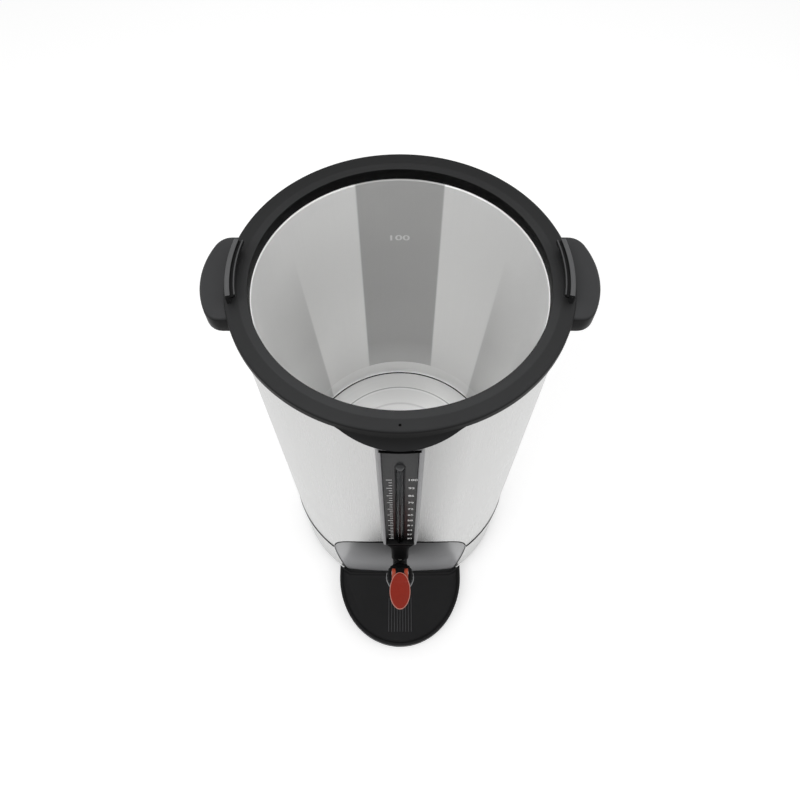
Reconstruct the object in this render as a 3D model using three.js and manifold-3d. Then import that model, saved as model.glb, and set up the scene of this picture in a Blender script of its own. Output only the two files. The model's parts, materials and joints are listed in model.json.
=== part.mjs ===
// Filter coffee urn, in millimetres. Z is up from the table, the tap faces -Y,
// and the urn's own axis is the model's axis until the last group centres the footprint.
import * as THREE from 'three';
import { mergeVertices } from 'three/addons/utils/BufferGeometryUtils.js';
import Module from 'manifold-3d';

const wasm = await Module();
wasm.setup();

// Fits shared by all pieces
const gap = 0.3;
const slideGap = 0.6;
const overrun = 5;
const steel = 1;
const weld = 1e-4;

// Driving dimensions of the body
const rimTop = 510;
const shellRadius = 144;
const rimOverhang = 6;
const rimRadius = shellRadius + rimOverhang;
const jacketWidth = 16;
const vesselRadius = shellRadius - jacketWidth;
const vesselFloor = 150;
const seamHeight = 100;
const footHeight = 4;
const panDepth = 9;
const ledge = footHeight + panDepth;
const shellInside = shellRadius - steel;

// Facets round the body, round its fittings and round its fasteners
const bodySegments = 40;
const fittingSegments = 16;
const fastenerSegments = 10;
const facetSlope = Math.tan(Math.PI / bodySegments);

// Top rim
const rimInner = vesselRadius + steel;
const rimDepth = 9;
const rimLipDepth = 10;
const rimLipWidth = 2.5;
const rimPlate = 3;
const rimRound = 3.5;
const rimBottom = rimTop - rimDepth;
const rimCeiling = rimTop - rimPlate;
const rimLipBottom = rimTop - rimLipDepth;
const rimHoleRadius = 0.9;
const rimHoleDepth = 2;
const rimHoleInset = 9;
const rimHolePlace = rimRadius - rimHoleInset;

// Front fairing under the rim, over the gauge
const fairingHalfAngle = THREE.MathUtils.degToRad(19);
const fairingDrop = 11.5;
const fairingBulge = 6;

// Lid-lock lugs on the rim
const lugInset = 4.5;
const lugOuter = rimRadius - lugInset;
const lugWall = 3;
const lugReach = 8.5;
const lugHeight = 12;
const lugRoof = 4;
const lugHalfLength = 31;

// Vessel floor and flange
const cornerWidth = 6;
const cornerHeight = 10;
const middleStepShare = 0.773;
const innerStepShare = 0.57;
const middleStepRadius = vesselRadius * middleStepShare;
const innerStepRadius = vesselRadius * innerStepShare;
const stepRise = 2;
const wellRadius = 20;
const wellDepth = 9;
const flangeTurnDown = 5;
const gasketWidth = 5;

// Front fascia: an arch cut into shell and skirt, leaning back towards the base
const archHalfWidth = 86.5;
const archFootHalfWidth = 76;
const archWaist = 97.5;
const archCrown = 222;
const archSideSteps = 4;
const fasciaLean = 17.5;
const fasciaInset = 0.8;
const fasciaThickness = 2.5;

// Skirt and base
const joggleHeight = 7;
const panWidth = 30;
const panInner = shellRadius - panWidth;
const plateOverlap = 4.5;
const plateRadius = panInner + plateOverlap;
const plateRecess = 5.3;
const ventCount = 4;
const ventHalfAngle = Math.PI / 12;
const ventPlace = 70;
const ventWidth = 8;
const panLip = 3.3;
const panLipHeight = 13;
const panLipMargin = 4;
const tongueWall = 3;
const footRadius = 10;
const footInset = 13;
const footPlace = shellRadius - footInset;

// Drip tray
const trayHalfWidth = 85;
const trayReach = 83;
const trayTip = shellRadius + trayReach;
const trayEarInset = 26;
const trayStraightFrom = shellRadius - trayEarInset;
const trayStraightInset = 12;
const trayStraightTo = shellRadius - trayStraightInset;
const trayRearInset = 16;
const trayRear = shellRadius - trayRearInset;
const frontFootInset = 27;
const frontFootPlace = trayTip - frontFootInset;
const trayFloorThickness = 2;
const trayLipHeight = 3.7;
const trayLipTop = 3;
const trayLipFoot = 6;
const trayWall = 2;
const traySkirtBottom = 5;
const ribCount = 9;
const ribPitch = 4.2;
const ribWidth = 1;
const ribHeight = 1;
const ribInset = 16;
const ribLength = 48;
const ribTo = trayTip - ribInset;
const ribFrom = ribTo - ribLength;

// Handles
const handleLength = 20;
const handleReach = rimRadius + handleLength;
const handleHalfWidth = 45;
const handleBulge = 13;
const handleCorner = 9;
const handleDepth = 18;
const handleWall = 3;
const handleOverlap = 3;
const handleSeat = rimRadius - handleOverlap;
const bracketHalfWidth = 22;
const bracketThickness = 3.5;
const bracketDepth = 40;
const bracketBottom = rimTop - bracketDepth;
const handleScrewSpread = 14;
const handleScrewDrop = 30;
const handleScrewHeight = rimTop - handleScrewDrop;
const screwRadius = 2;
const screwHeadRadius = 4.2;
const screwHead = 2.5;
const screwDomeShare = 0.7;
const screwEnd = 2;
const nutPlateThickness = 2.5;
const nutPlateHeight = 16;
const nutPlateHalfWidth = 20;

// Gauge
const gaugeBottom = 237;
const gaugeDrop = 21;
const gaugeTop = rimTop - gaugeDrop;
const gaugeHalfWidth = 20;
const gaugeFrontHalfWidth = 17.5;
const gaugeDepth = 9;
const gaugeFront = shellRadius + gaugeDepth;
const gaugeBack = 3;
const gaugeScrewDrop = 15;
const scaleHalfWidth = 15;
const scaleStandoff = 4.5;
const scaleFace = shellRadius + scaleStandoff;
const scaleThickness = 2;
const scaleEnd = 3;
const tubeRadius = 3.8;
const tubeWall = 1.2;
const tubeStandoff = 4.2;
const tubePlace = shellRadius + tubeStandoff;
const tubeDrop = 43;
const tubeTop = gaugeTop - tubeDrop;
const slotHalfWidth = 4.4;
const capHeight = 4;
const capPlug = 5;
const capVent = 0.6;
const neckHalfWidth = 10;
const neckDepth = 10;
const neckFront = shellRadius + neckDepth;
const neckCorner = 3;

// Tap
const tapReach = 30;
const tapAxis = shellRadius + tapReach;
const shankRise = 18;
const shankHeight = vesselFloor + shankRise;
const shankRadius = 7;
const shankBore = 3.5;
const shankThread = 12;
const shankInnerEnd = vesselRadius - shankThread;
const shoulderRadius = 11;
const shoulderWidth = 3;
const gasketThickness = 1.9;
const shankNeckRadius = 8.5;
const tapFlangeRadius = 14;
const tapFlangeThickness = 2.3;
const nutAcross = 20;
const nutWidth = 6;
const washerRadius = 10.5;
const washerThickness = 2;
const barrelRadius = 13;
const barrelHalfHeight = 16;
const barrelBottom = shankHeight - barrelHalfHeight;
const barrelTop = shankHeight + barrelHalfHeight;
const barrelTaper = 6;
const chamberRadius = 10.5;
const seatDrop = 10;
const seatHeight = shankHeight - seatDrop;
const seatBore = 6;
const spoutRadius = 8.5;
const spoutLength = 27.5;
const spoutBottom = barrelBottom - spoutLength;
const socketRadius = 7.5;
const socketRise = 12;
const socketTop = shankHeight + socketRise;
const tubeLedge = 1;
const tubeBottom = shankHeight + shankBore + tubeLedge;
const sealDepth = 4.8;
const sealRadius = 6;
const bonnetRadius = 15.5;
const bonnetRise = 6;
const bonnetTop = barrelTop + bonnetRise;
const bonnetRoof = 4;
const bonnetChamfer = 3;
const ringRadius = 16.6;
const ringHeight = 1.8;
const stemRadius = 3;
const stemHeadHalfWidth = 4.5;
const stemHeadHalfDepth = 4.5;
const stemHeadRise = 14;
const stemHeadTop = bonnetTop + stemHeadRise;
const cupRadius = 8.5;
const cupHeight = 7;
const springRadius = 5.6;
const springWire = 0.7;
const springTurns = 6;

// Lever, whose rounded heel lifts the stem by a constant amount for each degree
const pinRise = 9;
const pinHeight = bonnetTop + pinRise;
const pinRadius = 2;
const forkThickness = 4.4;
const forkBack = 5;
const heelLift = 6.5;
const heelTravel = THREE.MathUtils.degToRad(35);
const heelGap = 0.4;
const leverReach = 40;
const leverTip = tapAxis + leverReach;
const leverHalfWidth = 11.5;
const leverThickness = 4;
const leverRise = 4;
const leverDroop = 5;
const leverRootReach = 7;
const leverBladeRoot = tapAxis + leverRootReach;

// Heating parts under the vessel
const heaterMargin = 3;
const heaterPlateRadius = innerStepRadius - heaterMargin;
const heaterPlateThickness = 4;
const brewRingInset = 8;
const brewRingRadius = heaterPlateRadius - brewRingInset;
const brewTube = 3.6;
const warmRingShare = 0.468;
const warmRingRadius = brewRingRadius * warmRingShare;
const warmTube = 3;
const ringGapAngle = THREE.MathUtils.degToRad(15);
const elementGap = 1.2;
const elementLeg = 20;
const elementBend = 5;
const thermostatPlace = (warmRingRadius + brewRingRadius) / 2;
const thermostatRadius = 8;
const thermostatHeight = 9;
const bladeWidth = 4;
const bladeThickness = 1;
const bladeLength = 7;
const fuseRadius = 2.5;
const fuseLength = 20;
const rodRadius = 2.5;
const rodInset = 4;
const rodPlace = panInner - rodInset;
const rodNutAcross = 8;
const rodNutHeight = 3;

// Mains parts in the base
const blockWidth = 40;
const blockDepth = 20;
const blockHeight = 14;
const blockPlace = 50;
const poleSpread = 12;
const poleRadius = 2.6;
const inletHeight = 55;
const inletHalfWidth = 14;
const inletHalfHeight = 11;
const inletDepth = 30;
const inletFlangeHalfWidth = 22;
const inletFlangeHalfHeight = 14;
const inletFlange = 2.5;
const inletWall = 2.5;
const inletRecess = 16;
const inletPin = 10;
const inletPinWidth = 2;
const inletPinHeight = 4;
const inletPinSpread = 7;
const wireRadius = 1.3;
const wireRun = 10;

// Colours and surfaces of the real materials
const finishes = {
  steel: { color: 0xc9cacb, roughness: 0.28, metalness: 1 },
  blackPlastic: { color: 0x26272a, roughness: 0.55, metalness: 0 },
  glossBlack: { color: 0x1b1c1e, roughness: 0.15, metalness: 0 },
  greyPlastic: { color: 0x4a4b4e, roughness: 0.25, metalness: 0 },
  redPlastic: { color: 0xa3261c, roughness: 0.3, metalness: 0 },
  clearTube: { color: 0x9a9c9e, roughness: 0.05, metalness: 0 },
  rubber: { color: 0x17181a, roughness: 0.85, metalness: 0 },
  silicone: { color: 0xb9b6ad, roughness: 0.6, metalness: 0 },
  aluminium: { color: 0xb5b7b9, roughness: 0.45, metalness: 1 },
  ceramic: { color: 0xe6e2d8, roughness: 0.5, metalness: 0 },
  brownWire: { color: 0x5a3420, roughness: 0.5, metalness: 0 },
  blueWire: { color: 0x2f5d8f, roughness: 0.5, metalness: 0 },
  earthWire: { color: 0x6f9a35, roughness: 0.5, metalness: 0 },
};

const urn = new THREE.Group();

function piece(name, finish, geometry) {
  const shown = geometry.index ? geometry.toNonIndexed() : geometry;
  shown.computeVertexNormals();
  const mesh = new THREE.Mesh(shown, new THREE.MeshStandardMaterial(finishes[finish]));
  mesh.name = name;
  urn.add(mesh);
}

// Solids: joining and cutting closed geometries
function solidOf(geometry) {
  const bare = new THREE.BufferGeometry();
  bare.setAttribute('position', geometry.getAttribute('position').clone());
  if (geometry.index) bare.setIndex(geometry.index.clone());
  const merged = mergeVertices(bare, weld);
  const corners = merged.index.array;
  const triangles = [];
  for (let i = 0; i < corners.length; i += 3) {
    const [a, b, c] = [corners[i], corners[i + 1], corners[i + 2]];
    if (a !== b && b !== c && c !== a) triangles.push(a, b, c);
  }
  const mesh = new wasm.Mesh({
    numProp: 3,
    vertProperties: new Float32Array(merged.getAttribute('position').array),
    triVerts: new Uint32Array(triangles),
  });
  return new wasm.Manifold(mesh);
}

function geometryOf(solid) {
  const mesh = solid.getMesh();
  const geometry = new THREE.BufferGeometry();
  geometry.setAttribute('position', new THREE.BufferAttribute(mesh.vertProperties, 3));
  geometry.setIndex(new THREE.BufferAttribute(mesh.triVerts, 1));
  return geometry;
}

function join(first, ...others) {
  return geometryOf(others.reduce((sum, other) => sum.add(solidOf(other)), solidOf(first)));
}

function cut(body, ...tools) {
  return geometryOf(tools.reduce((rest, tool) => rest.subtract(solidOf(tool)), solidOf(body)));
}

function common(first, second) {
  return geometryOf(solidOf(first).intersect(solidOf(second)));
}

// Turned shapes: outlines are [radius, height] pairs round the Z axis
function turned(outline, segments = bodySegments) {
  let area = 0;
  outline.forEach(([r, z], i) => {
    const [nextR, nextZ] = outline[(i + 1) % outline.length];
    area += r * nextZ - nextR * z;
  });
  const ordered = area < 0 ? [...outline].reverse() : outline;
  const points = [...ordered, ordered[0]].map(([r, z]) => new THREE.Vector2(r, z));
  return new THREE.LatheGeometry(points, segments).rotateX(Math.PI / 2);
}

function disc(radius, bottom, top, segments = bodySegments) {
  return turned([[0, bottom], [radius, bottom], [radius, top], [0, top]], segments);
}

function ring(inner, outer, bottom, top, segments = bodySegments) {
  return turned([[inner, bottom], [outer, bottom], [outer, top], [inner, top]], segments);
}

// The same about an axis along -Y: heights of the outline become distances ahead of the urn's axis
function turnedAhead(outline, height) {
  return turned(outline, fittingSegments).rotateX(Math.PI / 2).translate(0, 0, height);
}

function discAhead(radius, from, to, height) {
  return turnedAhead([[0, from], [radius, from], [radius, to], [0, to]], height);
}

function ringAhead(inner, outer, from, to, height) {
  return turnedAhead([[inner, from], [outer, from], [outer, to], [inner, to]], height);
}

// A round bar along the X axis, at a place in front of the urn's axis
function discAcross(radius, from, to, ahead, height, segments) {
  return disc(radius, from, to, segments).rotateY(Math.PI / 2).translate(0, -ahead, height);
}

function box(x0, x1, y0, y1, z0, z1) {
  const geometry = new THREE.BoxGeometry(x1 - x0, y1 - y0, z1 - z0);
  return geometry.translate((x0 + x1) / 2, (y0 + y1) / 2, (z0 + z1) / 2);
}

// Straight prisms: up from a plan, ahead from a front view, and across from a side view
function prismUp(points, bottom, top) {
  const shape = new THREE.Shape(points.map(([x, y]) => new THREE.Vector2(x, y)));
  const geometry = new THREE.ExtrudeGeometry(shape, { depth: top - bottom, bevelEnabled: false });
  return geometry.translate(0, 0, bottom);
}

function prismAhead(points, from, to) {
  return prismUp(points, from, to).rotateX(Math.PI / 2);
}

function prismAcross(points, from, to) {
  const turn = new THREE.Matrix4().set(0, 0, 1, 0, 1, 0, 0, 0, 0, 1, 0, 0, 0, 0, 0, 1);
  return prismUp(points, from, to).applyMatrix4(turn);
}

// A block bent round the urn's axis: the unit box's x is the share of the half angle
function bent(steps, levels, place) {
  const geometry = new THREE.BoxGeometry(2, 1, 1, steps, 1, levels);
  const spots = geometry.getAttribute('position');
  for (let i = 0; i < spots.count; i += 1) {
    const { angle, radius, height } = place(spots.getX(i), spots.getY(i) + 0.5, spots.getZ(i) + 0.5);
    spots.setXYZ(i, radius * Math.cos(angle), radius * Math.sin(angle), height);
  }
  return geometry;
}

function arcBlock(middle, halfAngle, inner, outer, bottom, top, steps = 6) {
  return bent(steps, 1, (across, out, up) => ({
    angle: middle - across * halfAngle,
    radius: inner + (outer - inner) * out,
    height: bottom + (top - bottom) * up,
  }));
}

// Points along an elliptical arc, both ends included
function arc(centreA, centreB, radiusA, radiusB, from, to, steps) {
  return Array.from({ length: steps + 1 }, (_, i) => {
    const angle = from + ((to - from) * i) / steps;
    return [centreA + radiusA * Math.cos(angle), centreB + radiusB * Math.sin(angle)];
  });
}

function hexagon(across, bottom, top, bore) {
  const corner = across / Math.sqrt(3);
  const outline = arc(0, 0, corner, corner, 0, (5 * Math.PI) / 3, 5);
  return cut(prismUp(outline, bottom, top), disc(bore, bottom - overrun, top + overrun, fittingSegments));
}

// A round bar along a curve, with flat ends
function bar(curve, radius, sides, steps) {
  const section = new THREE.Shape(
    arc(0, 0, radius, radius, 0, (2 * Math.PI * (sides - 1)) / sides, sides - 1)
      .map(([x, y]) => new THREE.Vector2(x, y)),
  );
  return new THREE.ExtrudeGeometry(section, { steps, bevelEnabled: false, extrudePath: curve });
}

function mirrored(points) {
  return [...points, ...points.map(([x, y]) => [-x, y]).reverse()];
}

// Steel vessel: stepped floor with a central well, straight wall, flange turned down inside the shell
const middleFloor = vesselFloor + stepRise;
const innerFloor = middleFloor + stepRise;
const wellFloor = innerFloor - wellDepth;
const flangeTop = rimLipBottom - gap;
const flangeRadius = shellInside - gap;

function innerVessel() {
  const corner = vesselFloor + cornerHeight;
  const foot = vesselRadius - cornerWidth;
  const inside = [
    [0, wellFloor],
    [wellRadius, wellFloor],
    [wellRadius, innerFloor],
    [innerStepRadius, innerFloor],
    [innerStepRadius, middleFloor],
    [middleStepRadius, middleFloor],
    [middleStepRadius, vesselFloor],
    ...arc(foot, corner, cornerWidth, cornerHeight, -Math.PI / 2, 0, 5),
    [vesselRadius, flangeTop],
  ];
  const outside = [
    [flangeRadius, flangeTop],
    [flangeRadius, flangeTop - flangeTurnDown],
    [flangeRadius - steel, flangeTop - flangeTurnDown],
    [flangeRadius - steel, flangeTop - steel],
    [vesselRadius + steel, flangeTop - steel],
    ...arc(foot, corner, cornerWidth + steel, cornerHeight + steel, 0, -Math.PI / 2, 5),
    [middleStepRadius + steel, vesselFloor - steel],
    [middleStepRadius + steel, middleFloor - steel],
    [innerStepRadius + steel, middleFloor - steel],
    [innerStepRadius + steel, innerFloor - steel],
    [wellRadius + steel, innerFloor - steel],
    [wellRadius + steel, wellFloor - steel],
    [0, wellFloor - steel],
  ];
  const shankHole = discAhead(shankRadius + gap, vesselRadius - overrun, vesselRadius + overrun, shankHeight);
  return cut(turned([...inside, ...outside]), shankHole);
}

// The arch opening seen from the front: half ellipse over sides that draw in to the base
function archHalfWidthAt(height, margin) {
  if (height >= archWaist) {
    const share = (height - archWaist) / (archCrown + margin - archWaist);
    return (archHalfWidth + margin) * Math.sqrt(Math.max(0, 1 - share * share));
  }
  const share = (archWaist - height) / (archWaist - ledge);
  return archHalfWidth + margin - (archHalfWidth - archFootHalfWidth) * share * share;
}

function archPrism(margin, from, to) {
  const rightSide = Array.from({ length: archSideSteps }, (_, i) => {
    const height = ledge + ((archWaist - ledge) * i) / archSideSteps;
    return [archHalfWidthAt(height, margin), height];
  });
  const foot = [[archHalfWidthAt(ledge, margin), ledge - overrun], ...rightSide];
  const vault = arc(0, archWaist, archHalfWidth + margin, archCrown + margin - archWaist, 0, Math.PI, 18);
  const leftSide = foot.map(([x, z]) => [-x, z]).reverse();
  return prismAhead([...foot, ...vault, ...leftSide], from, to);
}

// How far ahead of the urn's axis the fascia's outer face lies
function fasciaAhead(x, height) {
  const level = Math.min(height, archCrown - steel);
  const centre = shellRadius - (fasciaLean * (archCrown - level)) / (archCrown - ledge);
  const half = archHalfWidthAt(level, 0);
  const edge = Math.sqrt(shellRadius ** 2 - half ** 2);
  return centre - (centre - edge) * (x / half) ** 2 - fasciaInset;
}

function fasciaSlab() {
  const width = 2 * (archHalfWidth + overrun);
  const geometry = new THREE.BoxGeometry(width, 1, archCrown + overrun - ledge - gap, 10, 1, 10);
  geometry.translate(0, 0, (archCrown + overrun + ledge + gap) / 2);
  const spots = geometry.getAttribute('position');
  for (let i = 0; i < spots.count; i += 1) {
    const ahead = fasciaAhead(spots.getX(i), spots.getZ(i));
    spots.setY(i, spots.getY(i) > 0 ? fasciaThickness - ahead : -ahead);
  }
  return geometry;
}

function frontFascia() {
  const opening = discAhead(shoulderRadius + slideGap, 0, rimRadius, shankHeight);
  const panel = common(fasciaSlab(), archPrism(-gap, 0, rimRadius));
  return cut(panel, opening);
}

// Holes for the screws of handles and gauge, shared by all the pieces that they pass through
const gaugeScrewHeight = gaugeTop - gaugeScrewDrop;

function handleScrewHoles() {
  return [-handleScrewSpread, handleScrewSpread].map((ahead) => discAcross(
    screwRadius + gap, -handleReach, handleReach, ahead, handleScrewHeight, fastenerSegments,
  ));
}

function gaugeScrewHole() {
  return discAhead(screwRadius + gap, 0, rimRadius, gaugeScrewHeight);
}

function outerShell() {
  const wall = ring(shellInside, shellRadius, seamHeight + gap, rimCeiling - steel);
  return cut(wall, archPrism(gap, 0, 2 * shellRadius), ...handleScrewHoles(), gaugeScrewHole());
}

// Lower band of the body, joggled inwards at its top to locate the shell
function lowerSkirt() {
  const joggleOuter = shellInside - gap;
  const band = turned([
    [shellInside, ledge + gap],
    [shellRadius, ledge + gap],
    [shellRadius, seamHeight - gap],
    [joggleOuter, seamHeight - gap],
    [joggleOuter, seamHeight + joggleHeight],
    [joggleOuter - steel, seamHeight + joggleHeight],
    [joggleOuter - steel, seamHeight - joggleHeight],
    [shellInside, seamHeight - joggleHeight],
  ]);
  const inletHole = box(
    -inletHalfWidth - gap, inletHalfWidth + gap,
    0, 2 * shellRadius,
    inletHeight - inletHalfHeight - gap, inletHeight + inletHalfHeight + gap,
  );
  return cut(band, archPrism(gap, 0, 2 * shellRadius), inletHole);
}

// Black rim: a channel over the shell's edge, with the front fairing and the two lid-lock lugs
function topRim() {
  const channel = turned([
    [rimInner, rimTop],
    [rimInner, rimLipBottom],
    [rimInner + rimLipWidth, rimLipBottom],
    [rimInner + rimLipWidth, rimCeiling],
    [shellRadius + gap, rimCeiling],
    [shellRadius + gap, rimBottom],
    [rimRadius, rimBottom],
    ...arc(rimRadius - rimRound, rimTop - rimRound, rimRound, rimRound, 0, Math.PI / 2, 4),
  ]);
  const fairing = bent(12, 3, (across, out, up) => {
    const swell = 1 - across * across;
    const outer = rimRadius - gap + fairingBulge * swell * (1 - up) ** 2;
    const bottom = rimBottom - fairingDrop * swell;
    return {
      angle: -Math.PI / 2 - across * fairingHalfAngle,
      radius: out > 0 ? outer : shellRadius + gap,
      height: bottom + (rimBottom + steel - bottom) * up,
    };
  });
  const lugAngle = Math.asin(lugHalfLength / lugOuter);
  const lugTop = rimTop + lugHeight;
  const lugs = [0, Math.PI].flatMap((middle) => [
    arcBlock(middle, lugAngle, lugOuter - lugWall, lugOuter, rimTop - steel, lugTop),
    arcBlock(middle, lugAngle, lugOuter - lugReach, lugOuter, lugTop - lugRoof, lugTop),
  ]);
  const notches = [-1, 1].map((side) => cut(
    box(
      side > 0 ? rimInner : -2 * rimRadius, side > 0 ? 2 * rimRadius : -rimInner,
      -handleHalfWidth - gap, handleHalfWidth + gap,
      rimCeiling - gap, rimTop + overrun,
    ),
    disc(handleSeat, 0, 2 * rimTop),
  ));
  const hole = disc(rimHoleRadius, rimTop - rimHoleDepth, rimTop + overrun, fastenerSegments);
  return cut(join(channel, fairing, ...lugs), ...notches, hole.translate(0, -rimHolePlace, 0));
}

// Handles: shelves with a turned-down edge, hollow below, on a bracket screwed to the shell
function handleOutline(inset) {
  const half = handleHalfWidth - inset;
  const reach = handleReach - inset;
  const bulgeRadius = (handleHalfWidth ** 2 + handleBulge ** 2) / (2 * handleBulge);
  const shape = new THREE.Shape();
  const arcHalf = Math.asin((half - handleCorner) / bulgeRadius);
  const centre = reach - bulgeRadius;
  const cornerX = centre + Math.sqrt(bulgeRadius ** 2 - half ** 2);
  shape.moveTo(shellRadius, -half);
  shape.lineTo(cornerX - handleCorner, -half);
  shape.quadraticCurveTo(
    cornerX, -half,
    centre + bulgeRadius * Math.cos(arcHalf), -bulgeRadius * Math.sin(arcHalf),
  );
  shape.absarc(centre, 0, bulgeRadius, -arcHalf, arcHalf, false);
  shape.quadraticCurveTo(cornerX, half, cornerX - handleCorner, half);
  shape.lineTo(shellRadius, half);
  return shape.getPoints(6).map((point) => [point.x, point.y]);
}

const bracketAngle = Math.asin(bracketHalfWidth / shellRadius);
const bracketTop = rimBottom - gap;

function handle() {
  const block = prismUp(handleOutline(0), rimTop - handleDepth, rimTop);
  const pocket = cut(
    prismUp(handleOutline(handleWall), rimTop - handleDepth - overrun, rimTop - handleWall),
    disc(rimRadius + gap + handleWall, 0, rimTop),
  );
  const grip = cut(
    block,
    pocket,
    disc(rimRadius + gap, 0, rimCeiling),
    disc(handleSeat + gap, rimCeiling - overrun, rimTop + overrun),
  );
  const plate = arcBlock(
    0, bracketAngle, shellRadius + gap, shellRadius + gap + bracketThickness, bracketBottom, bracketTop,
  );
  const web = arcBlock(
    0, bracketAngle, shellRadius + gap, rimRadius + gap + handleWall, rimTop - handleDepth, bracketTop,
  );
  return cut(join(grip, plate, web), ...handleScrewHoles());
}

// A screw stands on the seat of its head, at height zero, with its shank below
function screw(length) {
  return turned([
    [0, -length],
    [screwRadius, -length],
    [screwRadius, 0],
    [screwHeadRadius, 0],
    [screwHeadRadius * screwDomeShare, screwHead],
    [0, screwHead],
  ], fastenerSegments);
}

// Gauge: channel on the shell, scale plate in its face, tube in a slot through both
const pocketFloor = scaleFace - scaleThickness - gap;

function gaugeHousing() {
  const outline = [
    [-gaugeHalfWidth, -shellRadius + gaugeBack],
    [-gaugeHalfWidth, -shellRadius - gap],
    [-gaugeFrontHalfWidth, -gaugeFront],
    [gaugeFrontHalfWidth, -gaugeFront],
    [gaugeHalfWidth, -shellRadius - gap],
    [gaugeHalfWidth, -shellRadius + gaugeBack],
  ];
  const pocket = box(
    -scaleHalfWidth - gap, scaleHalfWidth + gap,
    -gaugeFront - overrun, -pocketFloor,
    gaugeBottom + scaleEnd - gap, gaugeTop - scaleEnd + gap,
  );
  const tubeSlot = box(
    -slotHalfWidth, slotHalfWidth,
    -gaugeFront - overrun, 0,
    gaugeBottom - overrun, tubeTop + capHeight + gap,
  );
  const bodyFace = disc(shellRadius + gap, 0, rimTop);
  return cut(prismUp(outline, gaugeBottom, gaugeTop), bodyFace, pocket, tubeSlot, gaugeScrewHole());
}

function scalePlate() {
  const plate = box(
    -scaleHalfWidth, scaleHalfWidth,
    -scaleFace, -scaleFace + scaleThickness,
    gaugeBottom + scaleEnd, gaugeTop - scaleEnd,
  );
  const slot = box(
    -slotHalfWidth, slotHalfWidth,
    -scaleFace - overrun, -scaleFace + scaleThickness + overrun,
    gaugeBottom - overrun, tubeTop + capHeight + gap,
  );
  return cut(plate, slot);
}

function tubeCap() {
  const plugRadius = tubeRadius - tubeWall - gap;
  const cap = turned([
    [capVent, tubeTop - capPlug],
    [plugRadius, tubeTop - capPlug],
    [plugRadius, tubeTop + gap],
    [tubeRadius, tubeTop + gap],
    [tubeRadius, tubeTop + capHeight],
    [capVent, tubeTop + capHeight],
  ], fittingSegments);
  return cap.translate(0, -tubePlace, 0);
}

function gaugeNeck() {
  const back = shellRadius + gap;
  const outline = mirrored([
    [neckHalfWidth, -back],
    [neckHalfWidth, -neckFront + neckCorner],
    [neckHalfWidth - neckCorner, -neckFront],
  ]);
  const bore = disc(tubeRadius + gap, 0, rimTop, fittingSegments).translate(0, -tubePlace, 0);
  const sleeve = prismUp(outline, socketTop + gap, gaugeBottom - gap);
  return cut(sleeve, bore, box(-slotHalfWidth, slotHalfWidth, -tubePlace, 0, 0, rimTop));
}

const gasketBack = vesselRadius + steel + gap;
const shoulderBack = gasketBack + gasketThickness + gap;
const ringBottom = shankHeight + shankNeckRadius + gap;
const bonnetBottom = ringBottom + ringHeight + gap;

// Tap body: shank through the vessel wall, chamber with its seat, spout and gauge socket
function tapBody() {
  const flangeBack = fasciaAhead(0, shankHeight + tapFlangeRadius) + gap;
  const shank = turnedAhead([
    [0, shankInnerEnd],
    [shankRadius, shankInnerEnd],
    [shankRadius, shoulderBack],
    [shoulderRadius, shoulderBack],
    [shoulderRadius, shoulderBack + shoulderWidth],
    [shankNeckRadius, shoulderBack + shoulderWidth],
    [shankNeckRadius, flangeBack],
    [tapFlangeRadius, flangeBack],
    [tapFlangeRadius, flangeBack + tapFlangeThickness],
    [shankNeckRadius, flangeBack + tapFlangeThickness],
    [shankNeckRadius, tapAxis],
    [0, tapAxis],
  ], shankHeight);
  const barrel = turned([
    [0, spoutBottom],
    [spoutRadius, spoutBottom],
    [spoutRadius, barrelBottom - barrelTaper],
    [barrelRadius, barrelBottom],
    [barrelRadius, barrelTop],
    [0, barrelTop],
  ], fittingSegments).translate(0, -tapAxis, 0);
  const socket = disc(socketRadius, shankHeight, socketTop, fittingSegments).translate(0, -tubePlace, 0);
  const chamber = turned([
    [0, spoutBottom - overrun],
    [seatBore, spoutBottom - overrun],
    [seatBore, seatHeight],
    [chamberRadius, seatHeight],
    [chamberRadius, barrelTop + overrun],
    [0, barrelTop + overrun],
  ], fittingSegments).translate(0, -tapAxis, 0);
  const shankHole = discAhead(shankBore, shankInnerEnd - overrun, tapAxis, shankHeight);
  const tubeHole = disc(tubeRadius + gap, tubeBottom - gap, socketTop + overrun, fittingSegments);
  const feedHole = disc(tubeRadius - tubeWall, shankHeight, tubeBottom, fastenerSegments);
  const sealHole = disc(sealRadius + gap, socketTop - sealDepth, socketTop + overrun, fittingSegments);
  const socketHoles = [tubeHole, feedHole, sealHole].map((hole) => hole.translate(0, -tubePlace, 0));
  return cut(join(shank, barrel, socket), chamber, shankHole, ...socketHoles);
}

// Bonnet screwed over the barrel, ribbed for the fingers, with the stem's hole
function bonnet() {
  const cap = turned([
    [barrelRadius + gap, bonnetBottom],
    [bonnetRadius, bonnetBottom],
    [bonnetRadius, bonnetTop - bonnetChamfer],
    [bonnetRadius - bonnetChamfer, bonnetTop],
    [stemRadius + gap, bonnetTop],
    [stemRadius + gap, bonnetTop - bonnetRoof],
    [barrelRadius + gap, bonnetTop - bonnetRoof],
  ], fittingSegments);
  return cap.translate(0, -tapAxis, 0);
}

const collarBottom = seatHeight + cupHeight + gap;

function pinHole() {
  return discAcross(pinRadius + gap, -leverHalfWidth, leverHalfWidth, tapAxis, pinHeight, fittingSegments);
}

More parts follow.
